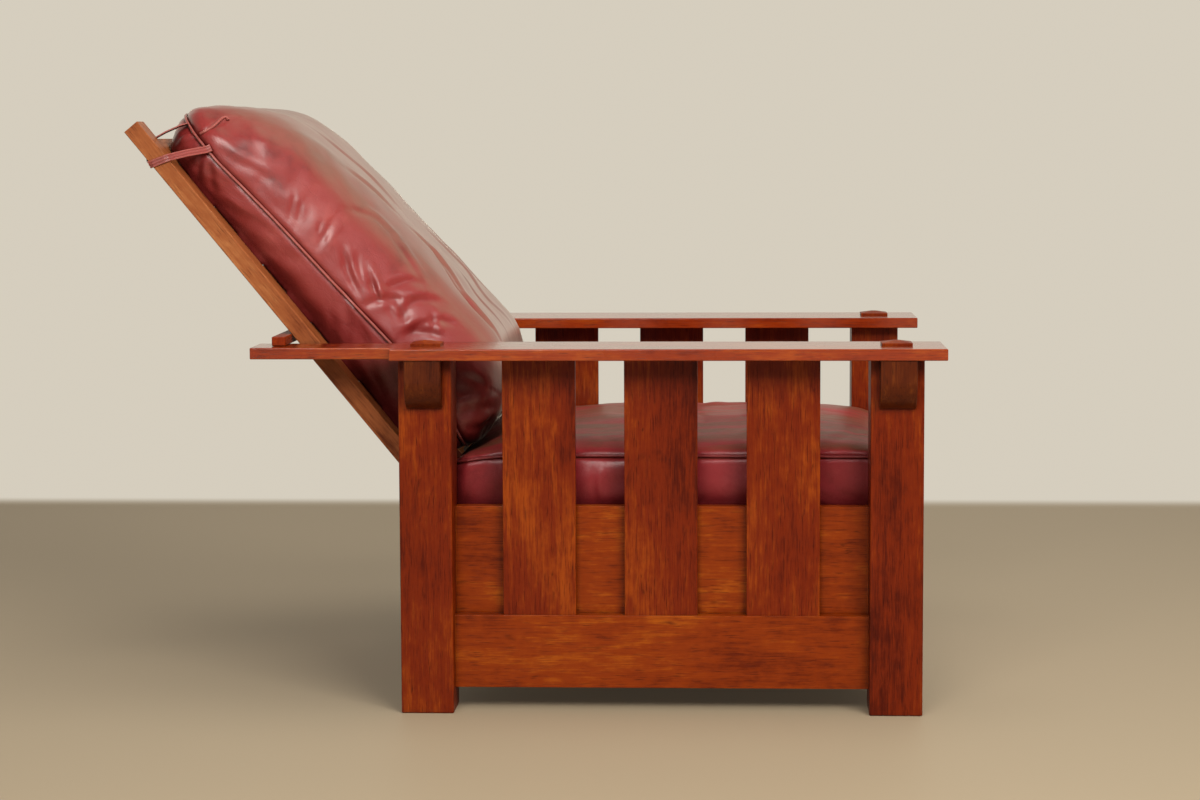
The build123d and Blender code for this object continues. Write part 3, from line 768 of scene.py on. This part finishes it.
def beside(points, normals, route):
    """Each point's distance to a route, which side it is on, and its share of the way along."""
    done = lengths_along(route)
    best = np.full(len(points), FAR_AWAY)
    side = np.ones(len(points))
    share = np.zeros(len(points))
    for index in range(len(route) - 1):
        start, step = route[index], route[index + 1] - route[index]
        length = done[index + 1] - done[index]
        part = np.clip((points - start) @ step / length**2, 0, 1)
        away = points - start - part[:, None] * step
        far = np.linalg.norm(away, axis=1)
        closer = far < best
        best[closer] = far[closer]
        turned = np.einsum("ij,ij->i", np.cross(normals[closer], step / length), away[closer])
        side[closer] = np.where(turned >= 0, 1.0, -1.0)
        share[closer] = (done[index] + part[closer] * length) / done[-1]
    return best, side, share


def near(points, route, reach):
    """The points in the box round a route."""
    inside = (points > route.min(axis=0) - reach) & (points < route.max(axis=0) + reach)
    return np.nonzero(inside.all(axis=1))[0]


def creased(points, normals, route, width, depth, roll):
    """How far a crease moves each point: in along its route, and out in a roll on one side."""
    distance, side, share = beside(points, normals, route)
    taper = np.sqrt(np.clip(np.sin(math.pi * np.clip(share, *CREASE_ENDS)), 0, 1))
    groove = -depth * bell(distance, width)
    ridge = roll * bell(distance * side - ROLL_PLACE_SHARE * width, ROLL_WIDTH_SHARE * width)
    return taper * (groove + ridge)


def pressed(piece, creases, place):
    """Press creases, each a width, a depth, a roll and places of its route, into a cover."""
    tree = surface_tree(piece)
    points, normals = read_points(piece), read_normals(piece)
    offset = np.zeros(len(points))
    for width, depth, roll, route in creases:
        ways = [place(*(MM * value for value in stop)) for stop in route]
        on_cover = np.array([tree.find_nearest(way)[0] for way in ways])
        curve = eased(evened(on_cover, CREASE_STEP), CREASE_EASING)
        close = near(points, curve, CREASE_REACH * width * MM)
        offset[close] += creased(points[close], normals[close], curve, width * MM, depth * MM, roll * MM)
    write_points(piece, points + normals * offset[:, None])


def mirrored(creases):
    """The same creases on the other side of the chair, rolled the same way."""
    return tuple((*sizes, tuple((-x, y, z) for x, y, z in route[::-1])) for *sizes, route in creases)


def rumpled(piece, height, scale, shift):
    """Uneven filling: soft lumps and hollows all over a cover."""
    points, normals = read_points(piece), read_normals(piece)
    lumps = [fractal(Vector(point) * scale + shift, *LUMP_FRACTAL) for point in points]
    write_points(piece, points + normals * (height * np.array(lumps))[:, None])


def seam_route(piece, place, middle, level):
    """The seam round a cushion: where it meets the cover at its own level."""
    tree = surface_tree(piece)
    found = []
    for turn in np.linspace(0, 2 * math.pi, SEAM_RAYS, endpoint=False):
        far = SEAM_FIRST_REACH
        for _ in range(SEAM_TRIES):
            out = float(level(middle + far * math.sin(turn)))
            start = place(0, middle, out)
            way = place(math.cos(turn), middle + math.sin(turn), out) - start
            hit, normal, _, far = tree.ray_cast(start, way)
        found.append((*hit, *normal))
    found.append(found[0])
    return evened(found, SEAM_STEP)[:-1]


def seam_pinch(piece, route, depth):
    """Draw a cover in along its seam."""
    points, normals = read_points(piece), read_normals(piece)
    fine = evened(np.concatenate([route[:, :3], route[:1, :3]]), SEAM_FINE_STEP)
    places = KDTree(len(fine))
    for index, stop in enumerate(fine):
        places.insert(stop, index)
    places.balance()
    distance = np.array([places.find(point)[2] for point in points])
    write_points(piece, points - normals * (depth * bell(distance, SEAM_PINCH_WIDTH))[:, None])


def welt(name, route, material, body):
    """A covered cord along a seam."""
    cord = seam_tube(name, route[:, :3] - route[:, 3:] * WELT_SINK, WELT_RADIUS, True)
    dress(cord, material)
    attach(cord, body)
    return cord


def seam_tube(name, points, radius, closed):
    """A round cord along points, as a mesh."""
    curve = bpy.data.curves.new(name, "CURVE")
    curve.dimensions = "3D"
    spline = curve.splines.new("NURBS")
    spline.points.add(len(points) - 1)
    for place, point in zip(spline.points, points):
        place.co = (*point, 1)
    spline.order_u = 4
    spline.use_cyclic_u = closed
    spline.use_endpoint_u = not closed
    spline.resolution_u = 2
    curve.bevel_depth = radius
    curve.bevel_resolution = CORD_ROUNDNESS
    curve.use_fill_caps = not closed
    drawn = link(bpy.data.objects.new(name, curve))
    mesh = made_mesh(drawn)
    bpy.data.objects.remove(drawn)
    for face in mesh.polygons:
        face.use_smooth = True
    return link(bpy.data.objects.new(name, mesh))


# Seat cushion

SEAT_LOW, SEAT_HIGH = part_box("seat_cushion")
SEAT_MIDDLE_Y = (SEAT_LOW.y + SEAT_HIGH.y) / 2
SEAT_SEAM_FRONT = 93.8 * MM
SEAT_SEAM_REAR = 81.0 * MM
SEAT_RISE_START = -40 * MM
SEAT_RISE_FULL = 78 * MM
SEAT_RISE_SHARE = 0.28
SEAT_RISE_FALL_SHARE = 0.35
SEAT_RISE_FALL_START = SEAT_RISE_FULL + 20 * MM
CROWN_EASE = 10 * MM
CROWN_EASE_START = SEAT_HIGH.z - 45 * MM
SEAM_DROP_START_SHARE = 0.75
SEAM_DROP_POWER = 4
SIDE_STEEPNESS = 1.3
SEAT_BASE_HELD = 25 * MM
SEAT_BASE_FREE = 20 * MM
SEAT_HELD_SHARE = 0.5
SEAT_SWELL = {"inset": 7 * MM, "cap": 22 * MM, "kept": 0.35}
SEAT_LUMPS = (1.3 * MM, 14.0, Vector((3.1, 0.4, 1.7)))
SEAT_PINCH = 2.6 * MM

# Each crease is a half width, a depth, a roll beside it, and its route across, front to back
# and up, in millimetres
SEAT_CREASES = (
    (9, 1.6, 1.2, ((-250, -230, 425), (-150, -262, 436), (-40, -250, 440))),
    (11, 1.8, 1.4, ((-270, -180, 410), (-180, -150, 432), (-60, -170, 438))),
    (8, 1.4, 1.2, ((-262, -330, 415), (-200, -350, 430), (-110, -335, 438))),
    (12, 2.0, 1.2, ((-255, -420, 415), (-170, -400, 434), (-80, -425, 440))),
    (10, 1.6, 1.4, ((-268, -470, 405), (-215, -500, 425), (-120, -505, 434))),
    (8, 1.4, 1.0, ((-280, -60, 395), (-210, -40, 412), (-120, -62, 420))),
    (13, 1.6, 1.0, ((120, -90, 425), (60, -210, 436), (90, -330, 440), (30, -440, 438))),
    (10, 1.6, 1.2, ((255, -240, 425), (160, -270, 436), (70, -250, 440))),
    (10, 1.8, 1.2, ((262, -410, 415), (180, -395, 434), (90, -420, 440))),
    (5, 1.2, 1.2, ((-303, -96, 372), (-303, -92, 340), (-303, -100, 300))),
    (5, 1.0, 1.0, ((-303, -30, 372), (-303, -38, 335), (-303, -30, 296))),
    (4, 1.0, 1.0, ((-303, -262, 318), (-303, -250, 306), (-303, -214, 300))),
    (4, 1.0, 1.0, ((-303, -430, 316), (-303, -450, 304), (-303, -478, 300))),
)


def seat_seam_height(y):
    """The height of the seat's welt at a place from front to back."""
    share = (y - SEAT_LOW.y) / (SEAT_HIGH.y - SEAT_LOW.y)
    late = np.clip((share - SEAM_DROP_START_SHARE) / (1 - SEAM_DROP_START_SHARE), 0, 1)
    rise = SEAT_SEAM_FRONT + (SEAT_SEAM_REAR - SEAT_SEAM_FRONT) * late**SEAM_DROP_POWER
    return SEAT_LOW.z + rise


def seat_place(x, y, z):
    """A place on the seat."""
    return Vector((x, y, z))


def rear_raised(piece):
    """Fill the seat's rear up towards the back cushion that rests on it, and ease its crown."""
    points = read_points(piece)
    y = points[:, 1]
    ahead = smooth_step(y, SEAT_RISE_START, SEAT_RISE_FULL)
    behind = 1 - SEAT_RISE_FALL_SHARE * smooth_step(y, SEAT_RISE_FALL_START, SEAT_HIGH.y)
    points[:, 2] += SEAT_RISE_SHARE * ahead * behind * (points[:, 2] - SEAT_LOW.z)
    crown = smooth_step(points[:, 2], CROWN_EASE_START, SEAT_HIGH.z) * (1 - ahead)
    points[:, 2] -= CROWN_EASE * crown
    write_points(piece, points)


def seat_cushion(leather, cord_leather):
    """The boxed seat cushion with its crown and the welt round its top edge."""
    piece = even_copy("seat_cushion", "seat_cushion_cover")
    points = read_points(piece)
    seam = np.abs(points[:, 2] - seat_seam_height(points[:, 1]))
    sides = np.clip(1 - np.abs(read_normals(piece)[:, 2]) * SIDE_STEEPNESS, 0, 1)
    base = np.clip((SEAT_LOW.z + SEAT_BASE_HELD - points[:, 2]) / SEAT_BASE_FREE, 0, 1)
    held = np.maximum(base, SEAT_HELD_SHARE * bell(seam, SEAM_HOLD_WIDTH) * sides)
    swell(piece, pinned=held, drawn=bell(seam, SEAM_DRAW_WIDTH) * sides, **SEAT_SWELL)
    refined(piece)
    rear_raised(piece)
    rumpled(piece, *SEAT_LUMPS)
    pressed(piece, SEAT_CREASES, seat_place)
    route = seam_route(piece, seat_place, SEAT_MIDDLE_Y, seat_seam_height)
    seam_pinch(piece, route, SEAT_PINCH)
    dress(piece, leather)
    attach(piece, "frame")
    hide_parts("seat_cushion")
    welt("seat_cushion_welt", route, cord_leather, "frame")


# Back cushion

BACK_SEAM_ALONG = np.array((15, 60, 120, 217, 345, 486, 600, 702)) * MM
BACK_SEAM_OUT = np.array((61, 73, 80, 77, 68, 60, 50, 47)) * MM
BACK_LOW = 22 * MM
LOW_END_SAG = 19 * MM
LOW_END_LENGTH = 90 * MM
# Where the sag sets in and lets go again, out from the stiles, and where it weakens sideways
SAG_SETS_IN = (30 * MM, 90 * MM)
SAG_LETS_GO = (145 * MM, 205 * MM)
SAG_WEAKENS = (150 * MM, 250 * MM)
SAG_WEAKER_SHARE = 0.5
CROWN_OUT = 211 * MM
CROWN_SOFT = (CROWN_OUT - 35 * MM, CROWN_OUT - 8 * MM)
BACK_MIDDLE_ALONG = 362 * MM
REAR_PLANE = -0.2 * MM
REAR_SAG = 7.0 * MM
SAG_INSET = 6.0 * MM
SLAT_LAP = 4 * MM
REAR_FLAT = (1.5 * MM, 7 * MM)
BACK_BASE_HELD = 14 * MM
BACK_BASE_FREE = 12 * MM
BACK_HELD_SHARE = 0.4
BACK_SWELL = {"inset": 8 * MM, "cap": 24 * MM, "kept": 0.5}
BACK_LUMPS = (1.2 * MM, 12.0, Vector((0.3, 5.2, 2.6)))
BACK_PINCH = 2.8 * MM

# Each crease is a half width, a depth, a roll beside it, and its route across, up the
# back and out from the stiles, in millimetres
BACK_SIDE_CREASES = (
    (4.4, 1.1, 0.8, ((-250, 488, 109), (-257, 464, 81))),
    (3.8, 0.9, 0.7, ((-251, 473, 108), (-255, 453, 88))),
    (4.4, 1.0, 0.8, ((-248, 430, 116), (-253, 418, 97))),
    (6.2, 1.6, 1.1, ((-241, 420, 137), (-250, 414, 112), (-254, 402, 88))),
    (5.6, 1.7, 1.4, ((-249, 380, 115), (-253, 350, 100), (-256, 318, 88))),
    (5.0, 1.4, 1.1, ((-247, 355, 122), (-253, 312, 100))),
    (5.0, 1.6, 1.4, ((-247, 344, 126), (-251, 312, 116), (-254, 278, 104))),
    (4.4, 1.2, 1.0, ((-250, 316, 118), (-254, 276, 104))),
    (5.0, 1.3, 1.0, ((-254, 336, 97), (-257, 300, 86))),
    (5.0, 1.6, 1.1, ((-249, 260, 126), (-252, 232, 118))),
    (4.4, 1.0, 0.9, ((-253, 261, 111), (-255, 240, 106))),
    (6.2, 2.0, 1.5, ((-258, 287, 80), (-254, 281, 102), (-249, 268, 122), (-243, 252, 138))),
    (
        6.9,
        2.6,
        1.9,
        ((-251, 230, 119), (-247, 244, 133), (-240, 243, 147), (-233, 230, 163), (-222, 214, 176)),
    ),
    (6.2, 1.9, 1.4, ((-248, 284, 126), (-241, 279, 146), (-232, 272, 160), (-224, 258, 168))),
    (6.2, 2.0, 1.5, ((-255, 208, 108), (-250, 211, 127), (-244, 201, 146))),
    (6.2, 2.0, 1.5, ((-243, 200, 151), (-237, 190, 163), (-230, 172, 171))),
    (5.0, 1.7, 1.2, ((-240, 213, 155), (-244, 197, 148), (-249, 184, 136))),
    (6.9, 2.3, 1.6, ((-258, 212, 98), (-254, 207, 116), (-250, 193, 132), (-247, 170, 144))),
    (7.5, 1.7, 1.0, ((-253, 150, 122), (-250, 132, 134), (-244, 110, 140))),
    (7.5, 2.2, 1.0, ((-253, 112, 128), (-240, 84, 139), (-200, 54, 148))),
    (7.5, 2.9, 1.6, ((-254, 66, 84), (-247, 66, 102), (-236, 60, 120), (-218, 52, 134))),
    (6.2, 1.7, 1.0, ((-248, 52, 82), (-236, 40, 98), (-222, 38, 118))),
    (8.8, 1.4, 0.9, ((-258, 334, 76), (-258, 299, 57), (-257, 272, 40))),
    (8.8, 1.3, 0.7, ((-256, 318, 37), (-253, 286, 24))),
    (7.5, 1.0, 0.7, ((-260, 596, 30), (-260, 566, 40), (-261, 545, 56))),
    (6.2, 1.2, 0.9, ((-262, 618, 44), (-261, 590, 26), (-256, 570, 12))),
    (5.0, 1.2, 0.9, ((-262, 628, 42), (-258, 612, 18), (-250, 600, 6))),
    (4.4, 1.3, 1.0, ((-246, 658, 16), (-250, 658, 36), (-253, 652, 50))),
    (4.4, 1.2, 0.9, ((-234, 668, 10), (-238, 673, 34), (-241, 670, 46))),
    (4.4, 1.6, 1.2, ((-255, 655, 52), (-255, 650, 63), (-251, 647, 79), (-240, 646, 95), (-226, 636, 114))),
    (7.5, 1.2, 0.7, ((-259, 610, 62), (-258, 560, 84), (-254, 520, 98))),
)
FRONT_FOLD = (
    (-116, 337, 198),
    (-100, 289, 204),
    (-118, 248, 203),
    (-140, 216, 203),
    (-168, 178, 203),
    (-172, 140, 200),
)
FRONT_FOLD_BELOW = (
    (-95, 300, 204),
    (-130, 250, 203),
    (-150, 222, 202),
    (-163, 190, 204),
    (-168, 150, 204),
    (-170, 112, 198),
)
BACK_FRONT_CREASES = (
    (6.0, 3.4, 2.0, FRONT_FOLD),
    (5.5, 3.0, 2.0, FRONT_FOLD_BELOW),
    (6.0, 2.0, 1.8, ((-206, 350, 180), (-216, 296, 177), (-225, 262, 172))),
    (6.0, 2.0, 1.6, ((-227, 416, 160), (-203, 380, 180), (-200, 330, 184))),
    (7.0, 2.0, 1.6, ((-150, 470, 188), (-120, 420, 196), (-110, 370, 200))),
    (8.0, 2.0, 1.4, ((-60, 560, 172), (-20, 470, 192), (-40, 380, 200))),
    (8.0, 2.2, 1.6, ((30, 330, 204), (60, 250, 208), (40, 170, 206), (80, 110, 198))),
    (7.0, 2.0, 1.6, ((150, 360, 196), (120, 290, 204), (140, 210, 204), (170, 150, 200))),
    (6.0, 1.8, 1.4, ((-40, 240, 208), (-60, 180, 208), (-50, 120, 200))),
)
PLEAT_RADIUS = 2.3 * MM
PLEAT_STEP = 2 * MM
PLEAT_EASING = 3
PLEAT_LIFT = 0.8 * MM
PLEAT = (
    (-256, 654, 55),
    (-256, 651, 64),
    (-252, 649, 79),
    (-243, 650, 92),
    (-236, 652, 99),
    (-233, 648, 103),
    (-236, 643, 101),
)


def back_seam_out(along):
    """How far the back cushion's seam stands out from the stiles."""
    return np.interp(along, BACK_SEAM_ALONG, BACK_SEAM_OUT)


def reach_along(name):
    """The low and high ends of a piece of the back, along the stiles."""
    _, along, _ = back_places(read_points(frame["nodes"][name]))
    return along.min(), along.max()


def rested(piece):
    """Lay the cushion's rear flat on the back frame, and let it sag between the slats."""
    points = read_points(piece)
    x, along, out = back_places(points)
    on_slat = np.zeros(len(points))
    for name in frame["nodes"]:
        if name.startswith("back_") and "slat" in name:
            low, high = reach_along(name)
            beyond = np.maximum(np.maximum(low - along, along - high), 0)
            on_slat = np.maximum(on_slat, 1 - smooth_step(beyond, 0, SLAT_LAP))
    stile_low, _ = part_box("back_stile_left")
    free = 1 - smooth_step(np.abs(x), stile_low.x - SAG_INSET, stile_low.x)
    flat = 1 - smooth_step(out, *REAR_FLAT)
    wanted = REAR_PLANE - REAR_SAG * free * (1 - on_slat)
    move = flat * (wanted - out)
    write_points(piece, points + move[:, None] * np.array(OUT_BACK))


def crown_softened(piece):
    """Round the flat of the solid's crown."""
    points = read_points(piece)
    _, _, out = back_places(points)
    soft = smoothed(piece, points, BROAD_ROUNDS)
    share = smooth_step(out, *CROWN_SOFT)
    write_points(piece, points + share[:, None] * (soft - points))


def low_end_sunk(piece):
    """Let the filling sink into the cushion's low end, over the seat."""
    points = read_points(piece)
    x, along, out = back_places(points)
    low = 1 - smooth_step(along, BACK_LOW, BACK_LOW + LOW_END_LENGTH)
    hanging = smooth_step(out, *SAG_SETS_IN) * (1 - smooth_step(out, *SAG_LETS_GO))
    middle = 1 - SAG_WEAKER_SHARE * smooth_step(np.abs(x), *SAG_WEAKENS)
    sunk = LOW_END_SAG * low * hanging * middle
    write_points(piece, points - sunk[:, None] * np.array(UP_BACK))


def back_cushion(leather, cord_leather):
    """The full back cushion with its one welt."""
    piece = even_copy("back_cushion", "back_cushion_cover")
    _, along, out = back_places(read_points(piece))
    flat = np.clip((BACK_BASE_HELD - out) / BACK_BASE_FREE, 0, 1)
    seam = np.abs(out - back_seam_out(along))
    held = np.maximum(flat, BACK_HELD_SHARE * bell(seam, SEAM_HOLD_WIDTH))
    swell(piece, pinned=held, drawn=bell(seam, SEAM_DRAW_WIDTH), **BACK_SWELL)
    crown_softened(piece)
    refined(piece)
    rumpled(piece, *BACK_LUMPS)
    pressed(piece, BACK_SIDE_CREASES + mirrored(BACK_SIDE_CREASES) + BACK_FRONT_CREASES, on_back)
    low_end_sunk(piece)
    rested(piece)
    route = seam_route(piece, on_back, BACK_MIDDLE_ALONG, back_seam_out)
    seam_pinch(piece, route, BACK_PINCH)
    dress(piece, leather)
    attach(piece, "back")
    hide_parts("back_cushion")
    pressed_together(piece)
    pressed_together(welt("back_cushion_welt", route, cord_leather, "back"))
    tree = surface_tree(piece)
    for side, sign in SIDES.items():
        pressed_together(pleat_lip(side, sign, tree, cord_leather))


def pleat_lip(side, sign, tree, leather):
    """The rolled edge of the pleat beside a strap, laid on the cover."""
    on_cover = []
    for x, along, out in PLEAT:
        stop, normal, _, _ = tree.find_nearest(on_back(-sign * x * MM, along * MM, out * MM))
        on_cover.append(stop + normal * PLEAT_LIFT)
    route = eased(evened(on_cover, PLEAT_STEP), PLEAT_EASING)
    lip = seam_tube("back_cushion_pleat_" + side, route, PLEAT_RADIUS, False)
    dress(lip, leather)
    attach(lip, "back")
    return lip


def pressed_together(piece):
    """Give a piece of the back cushion a mesh of its own."""
    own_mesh(piece)


# Straps

STRAP_WIDTH = 11.5 * MM
STRAP_THICKNESS = 2.4 * MM
STRAP_STEP = 1.5 * MM
STRAP_EASING = 10
# Places across, up the back and out from the stiles, in millimetres, then the way the strap
# faces there
STRAP_STOPS = (
    ((263.5, 624, 57), (1, 0, 0.1)),
    ((265.5, 626, 50), (1, 0, 0.4)),
    ((283.0, 639, 26), (0.8, 0, 0.6)),
    ((300.0, 650, 2), (0.8, 0, 0.5)),
    ((301.4, 652, -4), (1, 0, 0)),
    ((301.4, 658, -22), (1, 0, 0)),
    ((299.0, 660, -28), (0.6, 0, -0.7)),
    ((290.0, 663, -28.5), (0, 0, -1)),
    ((262.0, 674, -28.5), (0, 0, -1)),
    ((246.0, 682, -27.5), (0, 0.3, -1)),
    ((242.5, 692.5, -20), (0, 1, -0.4)),
    ((243.5, 693, -4), (0, 1, 0.1)),
    ((241.0, 690, 14), (0, 1, 0)),
    ((237.0, 684, 36), (0, 1, -0.1)),
    ((234.0, 679, 48), (0, 1, -0.2)),
)
# Half of the strap's section, from beside the middle of its face round to its back, in shares of
# its width and thickness. Its two rows of stitches are the low places.
STRAP_HALF_SHARES = (
    (0.14, 0.42),
    (0.22, 0.1),
    (0.30, 0.46),
    (0.42, 0.5),
    (0.5, 0.25),
    (0.5, -0.3),
    (0.42, -0.5),
)


def strap_profile():
    """The whole section of the strap, round from one edge to the other."""
    mirror_half = [(-wide, deep) for wide, deep in STRAP_HALF_SHARES[::-1]]
    return mirror_half[1:] + [(0.0, 0.5), *STRAP_HALF_SHARES, mirror_half[0]]


def strap_rings(route, whole):
    """The strap's section at each stop of its route."""
    rings = []
    for index, row in enumerate(route):
        ahead = route[min(index + 1, len(route) - 1), :3] - route[max(index - 1, 0), :3]
        ahead = Vector(ahead).normalized()
        face = Vector(row[3:])
        face = (face - face.dot(ahead) * ahead).normalized()
        across = STRAP_WIDTH * ahead.cross(face)
        depth = STRAP_THICKNESS * face
        middle = Vector(row[:3])
        places = [middle + wide * across + deep * depth for wide, deep in strap_profile()]
        rings.append([whole.verts.new(place) for place in places])
    return rings


def strap(side, sign, leather):
    """A flat stitched loop from the cushion's seam round the stile and over the crest slat."""
    stops = []
    for (x, along, out), (side_way, up_way, out_way) in STRAP_STOPS:
        place = on_back(sign * x * MM, along * MM, out * MM)
        facing = Vector((sign * side_way, 0, 0)) + up_way * UP_BACK + out_way * OUT_BACK
        stops.append((*place, *facing.normalized()))
    route = eased(evened(stops, STRAP_STEP), STRAP_EASING)
    whole = bmesh.new()
    rings = strap_rings(route, whole)
    for first, second in zip(rings, rings[1:]):
        for index in range(len(first)):
            after = (index + 1) % len(first)
            whole.faces.new((first[index], first[after], second[after], second[index]))
    whole.faces.new(rings[0][::-1])
    whole.faces.new(rings[-1])
    bmesh.ops.recalc_face_normals(whole, faces=whole.faces)
    mesh = bpy.data.meshes.new("strap_" + side)
    whole.to_mesh(mesh)
    whole.free()
    for face in mesh.polygons:
        face.use_smooth = len(face.vertices) == 4
    piece = link(bpy.data.objects.new("strap_" + side, mesh))
    dress(piece, leather)
    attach(piece, "back")
    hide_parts("strap_loop_" + side)


# Stage


def make_camera():
    """The camera at the photograph's viewpoint."""
    data = bpy.data.cameras.new("camera")
    data.lens = CAMERA_LENS
    data.sensor_width = CAMERA_SENSOR
    camera = link(bpy.data.objects.new("camera", data))
    heading = Matrix.Rotation(CAMERA_HEADING, 4, "Z")
    pitch = Matrix.Rotation(math.radians(90) + CAMERA_PITCH, 4, "X")
    roll = Matrix.Rotation(CAMERA_ROLL, 4, "Z")
    camera.matrix_world = Matrix.Translation(CAMERA_PLACE) @ heading @ pitch @ roll
    bpy.context.scene.camera = camera


def make_floor():
    """A plain pale floor that fades into the backdrop."""
    half = FLOOR_HALF_SIZE
    corners = [(-half, -half, 0), (half, -half, 0), (half, half, 0), (-half, half, 0)]
    mesh = bpy.data.meshes.new("floor")
    mesh.from_pydata(corners, [], [(0, 1, 2, 3)])
    floor = link(bpy.data.objects.new("floor", mesh))
    material, tree, shader = new_material("floor")
    look = {"Base Color": FLOOR_COLOUR, "Roughness": FLOOR_ROUGHNESS, "Specular IOR Level": FLOOR_SPECULAR}
    put(tree, shader, look)
    place = add(tree, "ShaderNodeTexCoord").outputs["Object"]
    distance = add(tree, "ShaderNodeVectorMath", {0: place}, operation="LENGTH").outputs["Value"]
    beyond = ramp(tree, distance, FLOOR_FADE_START, FLOOR_FADE_END)
    across = add(tree, "ShaderNodeSeparateXYZ", {0: place}).outputs["X"]
    far = calc(tree, "MAXIMUM", beyond, ramp(tree, across, WALL_START, WALL_END))
    glow_colour = mixed(tree, far, FLOOR_GLOW, BACKDROP_COLOUR)
    glow = add(tree, "ShaderNodeEmission", {"Color": glow_colour, "Strength": 1.0})
    path = add(tree, "ShaderNodeLightPath").outputs
    seen = calc(tree, "MAXIMUM", path["Is Camera Ray"], path["Is Glossy Ray"])
    share = calc(tree, "MULTIPLY", calc(tree, "MAXIMUM", far, FLOOR_GLOW_SHARE), seen)
    mix = add(tree, "ShaderNodeMixShader", {0: share, 1: shader.outputs[0], 2: glow.outputs[0]})
    output = next(n for n in tree.nodes if n.bl_idname == "ShaderNodeOutputMaterial")
    put(tree, output, {0: mix.outputs[0]})
    dress(floor, material)


def make_world():
    """Soft light from all round, and the pale backdrop where it is seen or reflected.

    In reflections the backdrop is bright low down and behind the chair, and dim elsewhere."""
    world = bpy.data.worlds.new("studio")
    bpy.context.scene.world = world
    world.use_nodes = True
    tree = world.node_tree
    tree.nodes.clear()
    direction = add(tree, "ShaderNodeTexCoord").outputs["Generated"]
    parts = add(tree, "ShaderNodeSeparateXYZ", {0: direction}).outputs
    behind = ramp(tree, parts["X"], *BEHIND_REACH, DIM_SHARE, 1.0)
    overhead = ramp(tree, parts["Z"], *OVERHEAD_REACH, 1.0, OVERHEAD_SHARE)
    path = add(tree, "ShaderNodeLightPath").outputs
    mirrored = calc(tree, "MAXIMUM", path["Is Glossy Ray"], path["Is Transmission Ray"])
    seen = calc(tree, "MAXIMUM", mirrored, path["Is Camera Ray"])
    dimmed = calc(tree, "MULTIPLY", behind, overhead)
    level = calc(tree, "MAXIMUM", dimmed, path["Is Camera Ray"])
    light = add(tree, "ShaderNodeBackground", {"Color": SKY_COLOUR, "Strength": SKY_LEVEL})
    backdrop = add(tree, "ShaderNodeBackground", {"Color": BACKDROP_COLOUR, "Strength": level})
    mix = add(tree, "ShaderNodeMixShader", {0: seen, 1: light.outputs[0], 2: backdrop.outputs[0]})
    add(tree, "ShaderNodeOutputWorld", {0: mix.outputs[0]})


def make_lamps():
    """Large soft lamps to both sides and above."""
    for name, place, size, power, in_reflections in LAMPS:
        data = bpy.data.lights.new(name, "AREA")
        data.size = size
        data.energy = power
        data.color = LAMP_COLOUR
        lamp = link(bpy.data.objects.new(name, data))
        lamp.visible_glossy = in_reflections
        lamp.location = place
        lamp.rotation_euler = (LAMP_TARGET - Vector(place)).to_track_quat("-Z", "Y").to_euler()


def main():
    """Light and dress the chair."""
    bpy.context.scene.view_settings.view_transform = "Standard"
    make_camera()
    make_world()
    make_lamps()
    make_floor()
    dress_wood()
    dress_metal()
    seat_leather = leather_material("seat_leather", *SEAT_LEATHER, **SEAT_WEAR_AND_PAINTED_LIGHT)
    back_leather = leather_material("back_leather", *BACK_LEATHER, **BACK_WEAR_AND_PAINTED_LIGHT)
    cord_leather = leather_material("cord_leather", *CORD_TONES)
    # The seat's cord is darkened as painted shade along the welt
    seat_cord_leather = leather_material("seat_cord_leather", *SEAT_CORD_SHADED_TONES, **SEAT_CORD_WEAR)
    seat_cushion(seat_leather, seat_cord_leather)
    back_cushion(back_leather, cord_leather)
    for side, sign in SIDES.items():
        strap(side, sign, cord_leather)


main()
